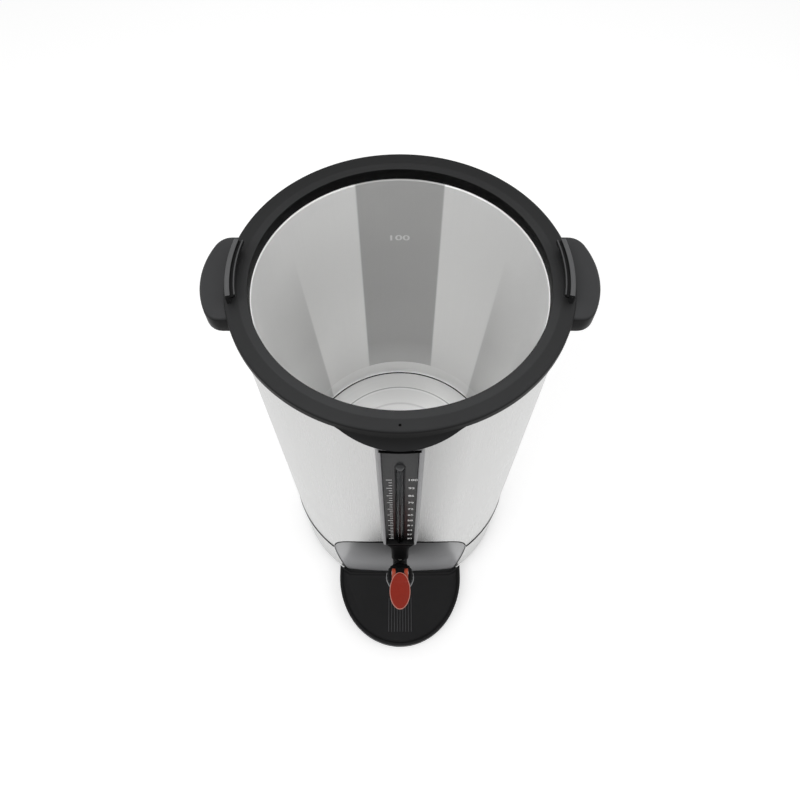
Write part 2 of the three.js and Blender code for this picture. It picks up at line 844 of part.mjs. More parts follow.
function valveStem() {
  const stem = turned([
    [0, seatHeight + steel + gap],
    [stemRadius, seatHeight + steel + gap],
    [stemRadius, collarBottom],
    [cupRadius - steel, collarBottom],
    [cupRadius - steel, collarBottom + steel],
    [stemRadius, collarBottom + steel],
    [stemRadius, bonnetTop + 2 * gap],
    [0, bonnetTop + 2 * gap],
  ], fittingSegments).translate(0, -tapAxis, 0);
  const head = box(
    -stemHeadHalfWidth, stemHeadHalfWidth,
    -tapAxis - stemHeadHalfDepth, -tapAxis + stemHeadHalfDepth,
    bonnetTop + gap, stemHeadTop,
  );
  return cut(join(stem, head), pinHole());
}

function seatCup() {
  const bore = stemRadius + gap;
  const cup = turned([
    [0, seatHeight + gap],
    [cupRadius, seatHeight + gap],
    [cupRadius, seatHeight + cupHeight],
    [bore, seatHeight + cupHeight],
    [bore, seatHeight + steel],
    [0, seatHeight + steel],
  ], fittingSegments);
  return cup.translate(0, -tapAxis, 0);
}

// Spring coiled round the stem between its collar and the bonnet's roof
class Helix extends THREE.Curve {
  constructor(radius, bottom, top, turns) {
    super();
    Object.assign(this, { radius, bottom, top, turns });
  }

  getPoint(t, target = new THREE.Vector3()) {
    const angle = 2 * Math.PI * this.turns * t;
    const height = this.bottom + (this.top - this.bottom) * t;
    return target.set(this.radius * Math.cos(angle), this.radius * Math.sin(angle), height);
  }
}

function stemSpring() {
  const bottom = collarBottom + steel + gap + springWire;
  const top = bonnetTop - bonnetRoof - gap - springWire;
  const coil = new Helix(springRadius, bottom, top, springTurns);
  return bar(coil, springWire, 5, 8 * springTurns).translate(0, -tapAxis, 0);
}

// Lever: an oval blade and two fork cheeks, each with a heel that rolls on the bonnet's top
const heelDrop = pinHeight - bonnetTop - heelGap;

function heelOutline() {
  const steps = 7;
  return Array.from({ length: steps + 1 }, (_, i) => {
    const turn = (heelTravel * i) / steps;
    const reach = heelDrop + heelLift * turn;
    const ahead = reach * Math.sin(turn) + heelLift * Math.cos(turn);
    const down = reach * Math.cos(turn) - heelLift * Math.sin(turn);
    return [-tapAxis - ahead, pinHeight - down];
  });
}

function bladeHeight(ahead) {
  const share = (ahead - tapAxis) / (leverTip - tapAxis);
  return pinHeight + leverRise - leverDroop * share * share;
}

function tapLever() {
  const heel = heelOutline();
  const front = heel[heel.length - 1];
  const cheek = [
    ...heel,
    [front[0], bladeHeight(-front[0]) - leverThickness / 2],
    [-tapAxis - forkBack, bladeHeight(tapAxis)],
    ...arc(-tapAxis, pinHeight, forkBack, forkBack, Math.PI / 2, -Math.PI / 4, 5),
    [-tapAxis, pinHeight - heelDrop],
  ];
  const inner = stemHeadHalfWidth + gap;
  const cheeks = [-1, 1].map((side) => prismAcross(
    cheek,
    side > 0 ? inner : -inner - forkThickness,
    side > 0 ? inner + forkThickness : -inner,
  ));
  const middle = (leverBladeRoot + leverTip) / 2;
  const plan = arc(0, -middle, leverHalfWidth, leverTip - middle, 0, (31 * Math.PI) / 16, 31);
  const sideSteps = 6;
  const sideStart = leverBladeRoot - overrun;
  const sideEnd = leverTip + overrun;
  const side = Array.from({ length: sideSteps + 1 }, (_, i) => {
    const ahead = sideStart + ((sideEnd - sideStart) * i) / sideSteps;
    return [-ahead, bladeHeight(ahead)];
  });
  const under = side.map(([y, z]) => [y, z - leverThickness]).reverse();
  const blade = common(
    prismUp(plan, 0, rimTop),
    prismAcross([...side, ...under], -2 * leverHalfWidth, 2 * leverHalfWidth),
  );
  return cut(join(blade, ...cheeks), pinHole());
}

// Base pan: ledge and locating lip for the skirt, tongue under the drip tray
function trayOutline(inset) {
  const half = trayHalfWidth - inset;
  const front = arc(0, -trayStraightTo, half, trayTip - inset - trayStraightTo, 0, -Math.PI, 18);
  return [[half, 0], ...front, [-half, 0]];
}

function traySlab(inset, rear, bottom, top) {
  const behind = box(-trayHalfWidth, trayHalfWidth, -rear, overrun, bottom - overrun, top + overrun);
  return cut(prismUp(trayOutline(inset), bottom, top), behind);
}

function basePan() {
  const plateRoof = footHeight + plateRecess;
  const lipOuter = shellInside - gap;
  const body = turned([
    [panInner, plateRoof],
    [plateRadius + slideGap, plateRoof],
    [plateRadius + slideGap, footHeight],
    [shellRadius, footHeight],
    [shellRadius, ledge],
    [lipOuter, ledge],
    [lipOuter, ledge + panLipHeight],
    [lipOuter - panLip, ledge + panLipHeight],
    [lipOuter - panLip, ledge],
    [panInner, ledge],
  ]);
  const tongueInset = trayWall + slideGap;
  const tongue = traySlab(tongueInset, trayStraightTo, footHeight, ledge);
  const hollow = traySlab(tongueInset + tongueWall, shellRadius + overrun, 0, ledge - tongueWall);
  const boss = disc(footRadius + tongueWall, footHeight, ledge, fittingSegments)
    .translate(0, -frontFootPlace, 0);
  const archFoot = box(
    -archFootHalfWidth - panLipMargin, archFootHalfWidth + panLipMargin,
    -rimRadius, 0,
    ledge, ledge + panLipHeight + overrun,
  );
  return cut(join(cut(tongue, hollow), boss, body), archFoot);
}

// The tray's well, wider at its top than at its floor
function trayWell(floorTop, lipTop) {
  const steps = 3;
  const layers = Array.from({ length: steps }, (_, i) => {
    const share = i / steps;
    const inset = trayLipFoot + (trayLipTop - trayLipFoot) * share;
    return traySlab(inset, trayRear + inset, floorTop + (lipTop - floorTop) * share, lipTop + overrun);
  });
  return join(...layers);
}

function dripTray() {
  const floorBottom = ledge + gap;
  const floorTop = floorBottom + trayFloorThickness;
  const lipTop = floorTop + trayLipHeight;
  const block = traySlab(0, trayStraightFrom, traySkirtBottom, lipTop);
  const well = trayWell(floorTop, lipTop);
  const under = prismUp(trayOutline(trayWall), 0, floorBottom);
  const bodyFace = disc(shellRadius + slideGap, 0, rimTop);
  const panTop = disc(shellRadius + slideGap, 0, floorBottom);
  const behind = cut(
    bodyFace,
    box(-archFootHalfWidth - gap, archFootHalfWidth + gap, -rimRadius, -trayRear, floorBottom, rimTop),
  );
  const tray = cut(block, well, under, panTop, behind);
  const ribs = Array.from({ length: ribCount }, (_, i) => {
    const x = (i - (ribCount - 1) / 2) * ribPitch;
    return box(x - ribWidth / 2, x + ribWidth / 2, -ribTo, -ribFrom, floorTop - steel, floorTop + ribHeight);
  });
  return join(tray, ...ribs);
}

function bottomPlate() {
  const top = footHeight + plateRecess - gap;
  const plate = disc(plateRadius, top - steel, top);
  const slots = Array.from({ length: ventCount }, (_, i) => arcBlock(
    (2 * Math.PI * i) / ventCount, ventHalfAngle, ventPlace, ventPlace + ventWidth, 0, top + overrun, 2,
  ));
  const holes = rodAngles.map((angle) => disc(rodRadius + gap, 0, top + overrun, fastenerSegments)
    .translate(rodPlace * Math.cos(angle), rodPlace * Math.sin(angle), 0));
  return cut(plate, ...slots, ...holes);
}

function foot() {
  return turned([
    [0, 0],
    [footRadius - steel, 0],
    [footRadius, steel],
    [footRadius, footHeight - gap],
    [0, footHeight - gap],
  ], fastenerSegments);
}

// Tie rods pull the vessel down on the shell, skirt and base
const rodAngles = [Math.PI / 6, (5 * Math.PI) / 6, (3 * Math.PI) / 2];
const plateUnderside = footHeight + plateRecess - gap - steel;

const plateBottom = innerFloor - steel - gap - heaterPlateThickness;
const elementTop = plateBottom - elementGap;

// Where a ring element's right-hand leg ends, below the gap in the ring
function elementEnd(radius, tube) {
  const across = radius * Math.sin(ringGapAngle) - elementBend;
  const end = elementTop - tube - elementLeg;
  return new THREE.Vector3(across, radius * Math.cos(ringGapAngle), end);
}

// Ring heating element under the plate, with its two ends turned down at the rear
function ringElement(radius, tube, steps) {
  const height = elementTop - tube;
  const start = Math.PI / 2 + ringGapAngle;
  const sweep = 2 * (Math.PI - ringGapAngle);
  const hoop = Array.from({ length: steps + 1 }, (_, i) => {
    const angle = start + (sweep * i) / steps;
    return new THREE.Vector3(radius * Math.cos(angle), radius * Math.sin(angle), height);
  });
  const tip = elementEnd(radius, tube);
  const knee = tip.clone().setZ(height - elementBend);
  const mirror = new THREE.Vector3(-1, 1, 1);
  const path = [tip.clone().multiply(mirror), knee.clone().multiply(mirror), ...hoop, knee, tip];
  return bar(new THREE.CatmullRomCurve3(path, false, 'centripetal'), tube, 8, steps + 8);
}

function thermostat() {
  const bottom = plateBottom - gap - thermostatHeight;
  const body = turned([
    [0, bottom],
    [thermostatRadius - steel, bottom],
    [thermostatRadius, bottom + steel],
    [thermostatRadius, plateBottom - gap],
    [0, plateBottom - gap],
  ], fittingSegments);
  const blades = [-1, 1].map((side) => box(
    side * bladeWidth - bladeThickness / 2, side * bladeWidth + bladeThickness / 2,
    -bladeWidth / 2, bladeWidth / 2,
    bottom - bladeLength, bottom + steel,
  ));
  return join(body, ...blades).translate(thermostatPlace, 0, 0);
}

function terminalBlock() {
  const bottom = footHeight + plateRecess;
  const block = box(
    -blockWidth / 2, blockWidth / 2,
    blockPlace - blockDepth / 2, blockPlace + blockDepth / 2,
    bottom, bottom + blockHeight,
  );
  const wells = [-1, 0, 1].map((side) => disc(poleRadius, bottom + blockHeight / 2, rimTop, fastenerSegments)
    .translate(side * poleSpread, blockPlace, 0));
  return cut(block, ...wells);
}

// Appliance inlet at the rear: flange, body, recess and its three blades
function powerInlet() {
  const face = shellRadius + gap + inletFlange;
  const body = box(
    -inletHalfWidth, inletHalfWidth, face - inletDepth, shellRadius + gap + steel,
    inletHeight - inletHalfHeight, inletHeight + inletHalfHeight,
  );
  const flange = box(
    -inletFlangeHalfWidth, inletFlangeHalfWidth, shellRadius + gap, face,
    inletHeight - inletFlangeHalfHeight, inletHeight + inletFlangeHalfHeight,
  );
  const recess = box(
    inletWall - inletHalfWidth, inletHalfWidth - inletWall, face - inletRecess, face + overrun,
    inletHeight - inletHalfHeight + inletWall, inletHeight + inletHalfHeight - inletWall,
  );
  const pins = [-1, 0, 1].map((side) => box(
    side * inletPinSpread - inletPinWidth / 2, side * inletPinSpread + inletPinWidth / 2,
    face - inletRecess - steel, face - inletRecess + inletPin,
    inletHeight - inletPinHeight / 2, inletHeight + inletPinHeight / 2,
  ));
  return join(cut(join(body, flange), recess), ...pins);
}

// Wires run from the inlet down to the terminal block, and from there up to the elements
const inletBack = shellRadius + gap + inletFlange - inletDepth;
const blockTop = footHeight + plateRecess + blockHeight;
const brewLegEnd = elementEnd(brewRingRadius, brewTube);
const warmLegEnd = elementEnd(warmRingRadius, warmTube);

function wire(...points) {
  const curve = new THREE.CatmullRomCurve3(points.map(([x, y, z]) => new THREE.Vector3(x, y, z)));
  return bar(curve, wireRadius, 8, 3 * points.length);
}

// Assembly
piece('inner_vessel', 'steel', innerVessel());
piece('outer_shell', 'steel', outerShell());
piece('lower_skirt', 'steel', lowerSkirt());
piece('front_fascia', 'greyPlastic', frontFascia());
piece('top_rim', 'blackPlastic', topRim());

const gasketInner = rimInner + rimLipWidth + gap;
piece('rim_gasket', 'silicone', ring(
  gasketInner, gasketInner + gasketWidth, flangeTop + gap, rimCeiling - gap,
));

const bracketFace = shellRadius + gap + bracketThickness;
const screwSeat = Math.sqrt(bracketFace ** 2 - (handleScrewSpread - screwHeadRadius) ** 2) + gap;
const nutPlateFace = Math.sqrt(shellInside ** 2 - nutPlateHalfWidth ** 2) - gap;
const handleScrewLength = screwSeat - nutPlateFace + nutPlateThickness + screwEnd;
for (const [label, turn] of [['right', 0], ['left', Math.PI]]) {
  piece(`handle_${label}`, 'blackPlastic', handle().rotateZ(turn));
  const plate = box(
    nutPlateFace - nutPlateThickness, nutPlateFace,
    -nutPlateHalfWidth, nutPlateHalfWidth,
    handleScrewHeight - nutPlateHeight / 2, handleScrewHeight + nutPlateHeight / 2,
  );
  piece(`handle_nut_plate_${label}`, 'steel', cut(plate, ...handleScrewHoles()).rotateZ(turn));
  [-1, 1].forEach((side, i) => piece(
    `handle_screw_${label}_${i + 1}`,
    'steel',
    screw(handleScrewLength)
      .rotateY(Math.PI / 2)
      .translate(screwSeat, side * handleScrewSpread, handleScrewHeight)
      .rotateZ(turn),
  ));
}

piece('gauge_housing', 'blackPlastic', gaugeHousing());
piece('gauge_scale_plate', 'glossBlack', scalePlate());
piece('sight_tube', 'clearTube', ring(
  tubeRadius - tubeWall, tubeRadius, tubeBottom, tubeTop, fittingSegments,
).translate(0, -tubePlace, 0));
piece('sight_tube_cap', 'blackPlastic', tubeCap());
piece('sight_tube_seal', 'silicone', ring(
  tubeRadius + gap, sealRadius, socketTop - sealDepth + gap, socketTop, fittingSegments,
).translate(0, -tubePlace, 0));
piece('gauge_neck_cover', 'blackPlastic', gaugeNeck());
const gaugeScrewSeat = shellInside - gap;
piece('gauge_screw', 'steel', screw(pocketFloor - gap - gaugeScrewSeat)
  .rotateX(-Math.PI / 2)
  .translate(0, -gaugeScrewSeat, gaugeScrewHeight));

const washerFace = vesselRadius - washerRadius * facetSlope - gap;
const nutFace = washerFace - washerThickness - gap;
piece('tap_body', 'blackPlastic', tapBody());
piece('shank_gasket', 'silicone', ringAhead(
  shankRadius + gap, shoulderRadius, gasketBack, gasketBack + gasketThickness, shankHeight,
));
piece('shank_washer', 'silicone', ringAhead(
  shankRadius + gap, washerRadius, washerFace - washerThickness, washerFace, shankHeight,
));
piece('shank_nut', 'steel', hexagon(nutAcross, nutFace - nutWidth, nutFace, shankRadius + gap)
  .rotateX(Math.PI / 2)
  .translate(0, 0, shankHeight));
piece('tap_bonnet', 'blackPlastic', bonnet());
piece('bonnet_ring', 'steel', ring(
  barrelRadius + gap, ringRadius, ringBottom, ringBottom + ringHeight, fittingSegments,
).translate(0, -tapAxis, 0));
piece('valve_stem', 'blackPlastic', valveStem());
piece('seat_cup', 'silicone', seatCup());
piece('stem_spring', 'steel', stemSpring());
piece('tap_lever', 'redPlastic', tapLever());
const pinHalfLength = stemHeadHalfWidth + gap + forkThickness + gap;
piece('lever_pin', 'steel', discAcross(
  pinRadius, -pinHalfLength, pinHalfLength, tapAxis, pinHeight, fittingSegments,
));

piece('base_pan', 'blackPlastic', basePan());
piece('drip_tray', 'blackPlastic', dripTray());
piece('bottom_plate', 'steel', bottomPlate());
const footNames = ['rear_right', 'rear_left', 'front_left', 'front_right'];
footNames.forEach((label, i) => {
  const angle = Math.PI / 4 + (i * Math.PI) / 2;
  const [x, y] = [footPlace * Math.cos(angle), footPlace * Math.sin(angle)];
  piece(`foot_${label}`, 'rubber', foot().translate(x, y, 0));
});
piece('foot_under_tray', 'rubber', foot().translate(0, -frontFootPlace, 0));

const rodNutTop = plateUnderside - gap;
rodAngles.forEach((angle, i) => {
  const [x, y] = [rodPlace * Math.cos(angle), rodPlace * Math.sin(angle)];
  const rod = disc(rodRadius, rodNutTop - rodNutHeight, vesselFloor - steel - gap, fastenerSegments);
  piece(`tie_rod_${i + 1}`, 'steel', rod.translate(x, y, 0));
  const nut = hexagon(rodNutAcross, rodNutTop - rodNutHeight, rodNutTop, rodRadius + gap);
  piece(`tie_rod_nut_${i + 1}`, 'steel', nut.translate(x, y, 0));
});

piece('heater_plate', 'aluminium', ring(
  wellRadius + steel + gap, heaterPlateRadius,
  plateBottom, plateBottom + heaterPlateThickness,
  2 * fittingSegments,
));
piece('brew_element', 'steel', ringElement(brewRingRadius, brewTube, 24));
piece('warming_element', 'steel', ringElement(warmRingRadius, warmTube, 16));
piece('brew_thermostat', 'ceramic', thermostat());
piece('warming_thermostat', 'ceramic', thermostat().rotateZ(Math.PI));
piece('thermal_fuse', 'aluminium', discAcross(
  fuseRadius, -fuseLength / 2, fuseLength / 2,
  thermostatPlace, plateBottom - gap - fuseRadius, fastenerSegments,
));
piece('terminal_block', 'ceramic', terminalBlock());
piece('power_inlet', 'blackPlastic', powerInlet());

const blockBack = blockPlace + blockDepth / 2 + gap;
const supplyWires = [['live', 'brownWire', -1], ['earth', 'earthWire', 0], ['neutral', 'blueWire', 1]];
for (const [label, finish, side] of supplyWires) {
  piece(`wire_${label}`, finish, wire(
    [side * inletPinSpread, inletBack - gap, inletHeight],
    [side * inletPinSpread, inletBack - wireRun, inletHeight],
    [side * poleSpread, blockBack + wireRun, blockTop - blockHeight / 2],
    [side * poleSpread, blockBack, blockTop - blockHeight / 2],
  ));
}
const elementWires = [['feed', 'brownWire', -1], ['return', 'blueWire', 1]];
for (const [label, finish, side] of elementWires) {
  piece(`wire_brew_${label}`, finish, wire(
    [side * poleSpread, blockPlace, blockTop + gap],
    [side * poleSpread, blockPlace, blockTop + elementLeg],
    [side * brewLegEnd.x, brewLegEnd.y, brewLegEnd.z - elementLeg],
    [side * brewLegEnd.x, brewLegEnd.y, brewLegEnd.z - gap],
  ));
}
piece('wire_warming_feed', 'brownWire', wire(
  [0, blockPlace, blockTop + gap],
  [0, blockPlace, blockTop + elementLeg],
  [-warmLegEnd.x, warmLegEnd.y, warmLegEnd.z - elementLeg],
  [-warmLegEnd.x, warmLegEnd.y, warmLegEnd.z - gap],
));

// The footprint is centred on the origin: the tray's tip reaches further than the rim's rear
urn.position.y = (trayTip - rimRadius) / 2;
export default new THREE.Group().add(urn);
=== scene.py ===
"""Filter coffee urn on a plain pale floor. Sizes are in millimetres round the urn's own axis,
turned into the frame's metres by place(). Z is up and the tap faces -Y."""

import json
from math import asin, copysign, cos, pi, radians, sin, sqrt, tan

import bmesh
import bpy
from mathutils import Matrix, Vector


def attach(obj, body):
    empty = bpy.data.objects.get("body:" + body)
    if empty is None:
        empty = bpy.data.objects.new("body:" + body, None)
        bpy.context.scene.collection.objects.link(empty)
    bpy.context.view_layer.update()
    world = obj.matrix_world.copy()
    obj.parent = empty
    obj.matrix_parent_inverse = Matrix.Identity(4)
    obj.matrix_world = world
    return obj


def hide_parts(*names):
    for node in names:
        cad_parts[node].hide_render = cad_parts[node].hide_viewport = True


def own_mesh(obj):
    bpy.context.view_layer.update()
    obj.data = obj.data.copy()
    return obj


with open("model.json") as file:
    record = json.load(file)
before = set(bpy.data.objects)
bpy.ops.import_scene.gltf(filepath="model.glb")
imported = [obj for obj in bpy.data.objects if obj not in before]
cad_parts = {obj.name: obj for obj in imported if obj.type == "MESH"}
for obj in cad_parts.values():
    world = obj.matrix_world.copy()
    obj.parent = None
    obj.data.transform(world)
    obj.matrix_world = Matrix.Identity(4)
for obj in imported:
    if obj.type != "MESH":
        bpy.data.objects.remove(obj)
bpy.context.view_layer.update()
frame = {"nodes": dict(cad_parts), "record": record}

MM = 0.001
AXIS_Y = 38.5
FULL_TURN, QUARTER = 2 * pi, pi / 2

# Camera at the photograph's place: a lens of 29 mm, looking down 61 degrees
FOCAL_PIXELS = 643.4
FRAME_PIXELS = 800
SENSOR = 36.0
PITCH = radians(61.107)
CAMERA_SPOT = (0.0, -0.3176, 0.93705)


def new_object(name, data):
    made = bpy.data.objects.new(name, data)
    bpy.context.scene.collection.objects.link(made)
    return made


camera_data = bpy.data.cameras.new("camera")
camera_data.sensor_width = SENSOR
camera_data.lens = FOCAL_PIXELS * SENSOR / FRAME_PIXELS
camera = new_object("camera", camera_data)
camera.location = CAMERA_SPOT
camera.rotation_euler = (QUARTER - PITCH, 0.0, 0.0)
bpy.context.scene.camera = camera

# Body sizes
GAP = 0.3
RIM_TOP = 510.0
RIM_RADIUS = 150.0
RIM_INNER = 129.0
RIM_SIDE = 148.6
RIM_CROWN = 512.0
RIM_FOOT = 503.5
LIP = 497.9
SHELL = 144.0
SHEET = 1.0
SHELL_FACE = SHELL + GAP
SHELL_INSIDE = SHELL - SHEET - GAP
VESSEL = 128.0
FLOOR = 150.0
SEAM = 100.0
LEDGE = 13.0
ARCH_HALF = 86.5
ARCH_FOOT_HALF = 76.0
ARCH_WAIST = 97.5
ARCH_CROWN = 222.0
ARCH_POWER = 1.7
FASCIA_LEAN = 17.5
FASCIA_INSET = 0.8
FASCIA_THICK = 2.5
TAP_AXIS = 174.0
SHANK = 168.0
BONNET_TOP = 190.0
PIN_HEIGHT = 199.0
PRESS_ANGLE = 35.0
SIDES = (("right", 1), ("left", -1))


def place(x, y, z):
    return Vector((x, y + AXIS_Y, z)) * MM


# Shader nodes


def feed(tree, target, inputs):
    """Links the inputs that are sockets and sets the others."""
    for key, value in inputs.items():
        if isinstance(value, bpy.types.NodeSocket):
            tree.links.new(value, target.inputs[key])
        else:
            target.inputs[key].default_value = value


def node(tree, kind, inputs=None, **settings):
    made = tree.nodes.new(f"ShaderNode{kind}")
    for key, value in settings.items():
        setattr(made, key, value)
    feed(tree, made, inputs or {})
    return made


def calc(tree, operation, *values):
    return node(tree, "Math", dict(enumerate(values)), operation=operation).outputs[0]


def times(tree, first, second):
    return calc(tree, "MULTIPLY", first, second)


def spread(tree, value, start, end, low, high):
    inputs = {"Value": value, "From Min": start, "From Max": end, "To Min": low, "To Max": high}
    return node(tree, "MapRange", inputs).outputs[0]


def around(tree, value, middle, swing):
    return spread(tree, value, 0.0, 1.0, middle - swing, middle + swing)


def noise(tree, vector, scale, detail=3.0, roughness=0.5):
    inputs = {"Vector": vector, "Scale": scale, "Detail": detail, "Roughness": roughness}
    return node(tree, "TexNoise", inputs).outputs["Fac"]


def mottled(tree, share, colour, low, high):
    """A colour that changes from low to high times itself."""
    first, second = [(*(min(1.0, channel * factor) for channel in colour), 1.0) for factor in (low, high)]
    return node(tree, "Mix", {0: share, 6: first, 7: second}, data_type="RGBA").outputs[2]


def spot_on(tree):
    return node(tree, "TexCoord").outputs["Object"]


def round_axis(tree):
    """Angle round the urn's axis from the rear in radians; height, x and depth in metres."""
    parts = node(tree, "SeparateXYZ", {"Vector": spot_on(tree)})
    depth = calc(tree, "SUBTRACT", parts.outputs["Y"], AXIS_Y * MM)
    angle = calc(tree, "ARCTAN2", parts.outputs["X"], depth)
    return angle, parts.outputs["Z"], parts.outputs["X"], depth


def height_at(tree):
    return round_axis(tree)[1]


def depth_at(tree):
    return round_axis(tree)[3]


def from_axis(tree):
    _, _, x, depth = round_axis(tree)
    return calc(tree, "SQRT", calc(tree, "ADD", times(tree, x, x), times(tree, depth, depth)))


def ramp_shade(tree, value, stops):
    """A grey read off a ramp, its stops as pairs of place from 0 to 1 and share."""
    ramp = node(tree, "ValToRGB", {"Fac": value})
    while len(ramp.color_ramp.elements) < len(stops):
        ramp.color_ramp.elements.new(0.5)
    for element, (spot, share) in zip(ramp.color_ramp.elements, stops):
        element.position = spot
        element.color = (share, share, share, 1.0)
    return ramp.outputs["Color"]


# Shades: each makes a grey that a material's colour is multiplied by, most of them painted light and shade


def shaded(tree, tone, shades):
    for shade in shades:
        tone = node(tree, "Mix", {0: 1.0, 6: tone, 7: shade(tree)},
                    data_type="RGBA", blend_type="MULTIPLY").outputs[2]
    return tone


def facing_up(side, low=0.2, high=0.9):
    """Painted light by slope: top faces keep the colour, upright ones have a share of it, a smaller one for
    painted shade and a larger one for a painted highlight.
    """
    def shade(tree):
        normal = node(tree, "NewGeometry").outputs["Normal"]
        rise = node(tree, "SeparateXYZ", {"Vector": normal}).outputs["Z"]
        return spread(tree, rise, low, high, side, 1.0)
    return shade


def by(measure, start, end, low, high=1.0):
    """A share that goes from low to high as a measure goes from start to end."""
    def shade(tree):
        return spread(tree, measure(tree), start * MM, end * MM, low, high)
    return shade


def radius_bands(stops, full):
    """Shares by distance from the axis, as pairs of radius and share."""
    def shade(tree):
        reach = calc(tree, "DIVIDE", from_axis(tree), full * MM)
        return ramp_shade(tree, reach, [(radius / full, tone) for radius, tone in stops])
    return shade


# The wall's painted reflections, as bands: start, end and the values there, by height in metres or by degrees
# from the rear
MIDDLE = (0.33, 0.46, 0.485, 0.535)
MIDDLE_FOOT = (0.18, 0.225, 1.32, 1.0)
MIDDLE_EDGE = (19.1, 19.9, 0.0, 1.0)
BESIDE = (0.30, 0.48, 0.95, 0.97)
FOOT_EDGE = (0.1715, 0.1725, 1.0, 0.0)
FOOT_LIFT = (0.1715, 0.1725, 1.1, 1.0)
WEDGE_EDGE = (0.17, 0.48, 47.0, 55.5)
WEDGE_START = (0.0, 1.0, 0.0, 1.0)
WEDGE_FADE = (3.0, 26.0, 1.0, 0.15)
WEDGE_TOP = (0.30, 0.45, 0.28, 0.0)


def wall_polish(tree):
    """Painted reflections as upright bands on the vessel's wall, one at the rear and one on each side of it,
    and a slightly lighter foot without the middle band.
    """
    angle, height, _, _ = round_axis(tree)
    turn = times(tree, calc(tree, "ABSOLUTE", angle), 180.0 / pi)

    def rise(band):
        return spread(tree, height, *band)

    middle = times(tree, rise(MIDDLE), rise(MIDDLE_FOOT))
    edge = calc(tree, "MAXIMUM", spread(tree, turn, *MIDDLE_EDGE), rise(FOOT_EDGE))
    change = times(tree, edge, calc(tree, "SUBTRACT", rise(BESIDE), middle))
    band = times(tree, calc(tree, "ADD", middle, change), rise(FOOT_LIFT))
    beyond = calc(tree, "SUBTRACT", turn, rise(WEDGE_EDGE))
    wedge = times(tree, spread(tree, beyond, *WEDGE_START), spread(tree, beyond, *WEDGE_FADE))
    wedge = times(tree, wedge, rise(WEDGE_TOP))
    return times(tree, band, calc(tree, "SUBTRACT", 1.0, wedge))


def shell_polish(tree):
    """Painted reflections as soft upright streaks round the shell."""
    share = spread(tree, round_axis(tree)[0], -pi, pi, 0.0, 1.0)
    return ramp_shade(tree, share, [((degrees + 180.0) / 360.0, tone) for degrees, tone in SHELL_REFLECTION_BANDS])


BAR_SIDE, BAR_TOP, BAR_SHARE = (15.4, 15.8), (241.0, 243.0), 0.03


def aside_at(tree):
    return calc(tree, "ABSOLUTE", round_axis(tree)[2])


def lower_bar(tree):
    """The gauge frame's lower bar is as dark as the neck under it."""
    aside, height = by(aside_at, *BAR_SIDE, BAR_SHARE), by(height_at, *BAR_TOP, BAR_SHARE)
    return calc(tree, "MAXIMUM", aside(tree), height(tree))


# Materials


MATERIALS = {}


def new_material(name, **sockets):
    material = MATERIALS[name] = bpy.data.materials.new(name)
    material.use_nodes = True
    tree = material.node_tree
    shader = tree.nodes["Principled BSDF"]
    feed(tree, shader, {key.replace("_", " "): value for key, value in sockets.items()})
    return tree, shader


def dress(tree, shader, tone, gloss, relief, strength, depth):
    """Links a material's tone and gloss, and a bump from its relief, as deep as told in millimetres."""
    bump = node(tree, "Bump", {"Height": relief, "Strength": strength, "Distance": depth * MM})
    feed(tree, shader, {"Base Color": tone, "Roughness": gloss, "Normal": bump.outputs["Normal"]})


def plastic(name, colour, roughness, depth=0.04, shades=(), specular=0.06, grain=0.35):
    """Moulded plastic: a fine spark-eroded grain, with slow changes of tone and gloss."""
    tree, shader = new_material(name, Specular_IOR_Level=specular)
    slow = noise(tree, spot_on(tree), 18.0, 4.0, 0.6)
    fine = noise(tree, spot_on(tree), 1.0 / (grain * MM), 2.0)
    tone = shaded(tree, mottled(tree, slow, colour, 0.86, 1.14), shades)
    gloss = calc(tree, "ADD", around(tree, slow, roughness, 0.05), around(tree, fine, 0.0, 0.03))
    dress(tree, shader, tone, gloss, fine, 0.5, depth)


# A steel's grain: the measure it runs along, and its lines per radian and per metre of that measure
UPRIGHT = (height_at, 130.0, 5.0)
RINGS = (from_axis, 0.6, 700.0)


def steel(name, colour, roughness, lines, contrast, shades, **sockets):
    """Sheet steel with a fine grain up the body or in rings on a disc, and faint smears."""
    tree, shader = new_material(name, **sockets)
    measure, per_radian, per_metre = lines
    pattern = node(tree, "CombineXYZ", {
        "X": times(tree, round_axis(tree)[0], per_radian),
        "Y": times(tree, measure(tree), per_metre),
    }).outputs[0]
    grain = noise(tree, pattern, 1.0, 2.0)
    smear = noise(tree, spot_on(tree), 9.0, 4.0)
    tone = shaded(tree, mottled(tree, grain, colour, 1.0 - contrast, 1.0 + contrast), shades)
    gloss = calc(tree, "ADD", around(tree, grain, roughness, 0.04), around(tree, smear, 0.0, 0.03))
    dress(tree, shader, tone, gloss, grain, 0.12, 0.008)


def metal(name, colour, roughness, scale=60.0):
    """Small metal parts: mottled tone and gloss."""
    tree, shader = new_material(name, Metallic=1.0)
    mottle = noise(tree, spot_on(tree), scale, 4.0, 0.6)
    feed(tree, shader, {"Base Color": mottled(tree, mottle, colour, 0.85, 1.1),
                        "Roughness": around(tree, mottle, roughness, 0.06)})


def clear_plastic(name, colour, ior, low, high):
    """See-through plastic with a slight haze, its roughness from low to high."""
    tree, shader = new_material(name, Transmission_Weight=1.0, IOR=ior, Base_Color=(*colour, 1.0))
    haze = noise(tree, spot_on(tree), 120.0)
    feed(tree, shader, {"Roughness": spread(tree, haze, 0.0, 1.0, low, high)})
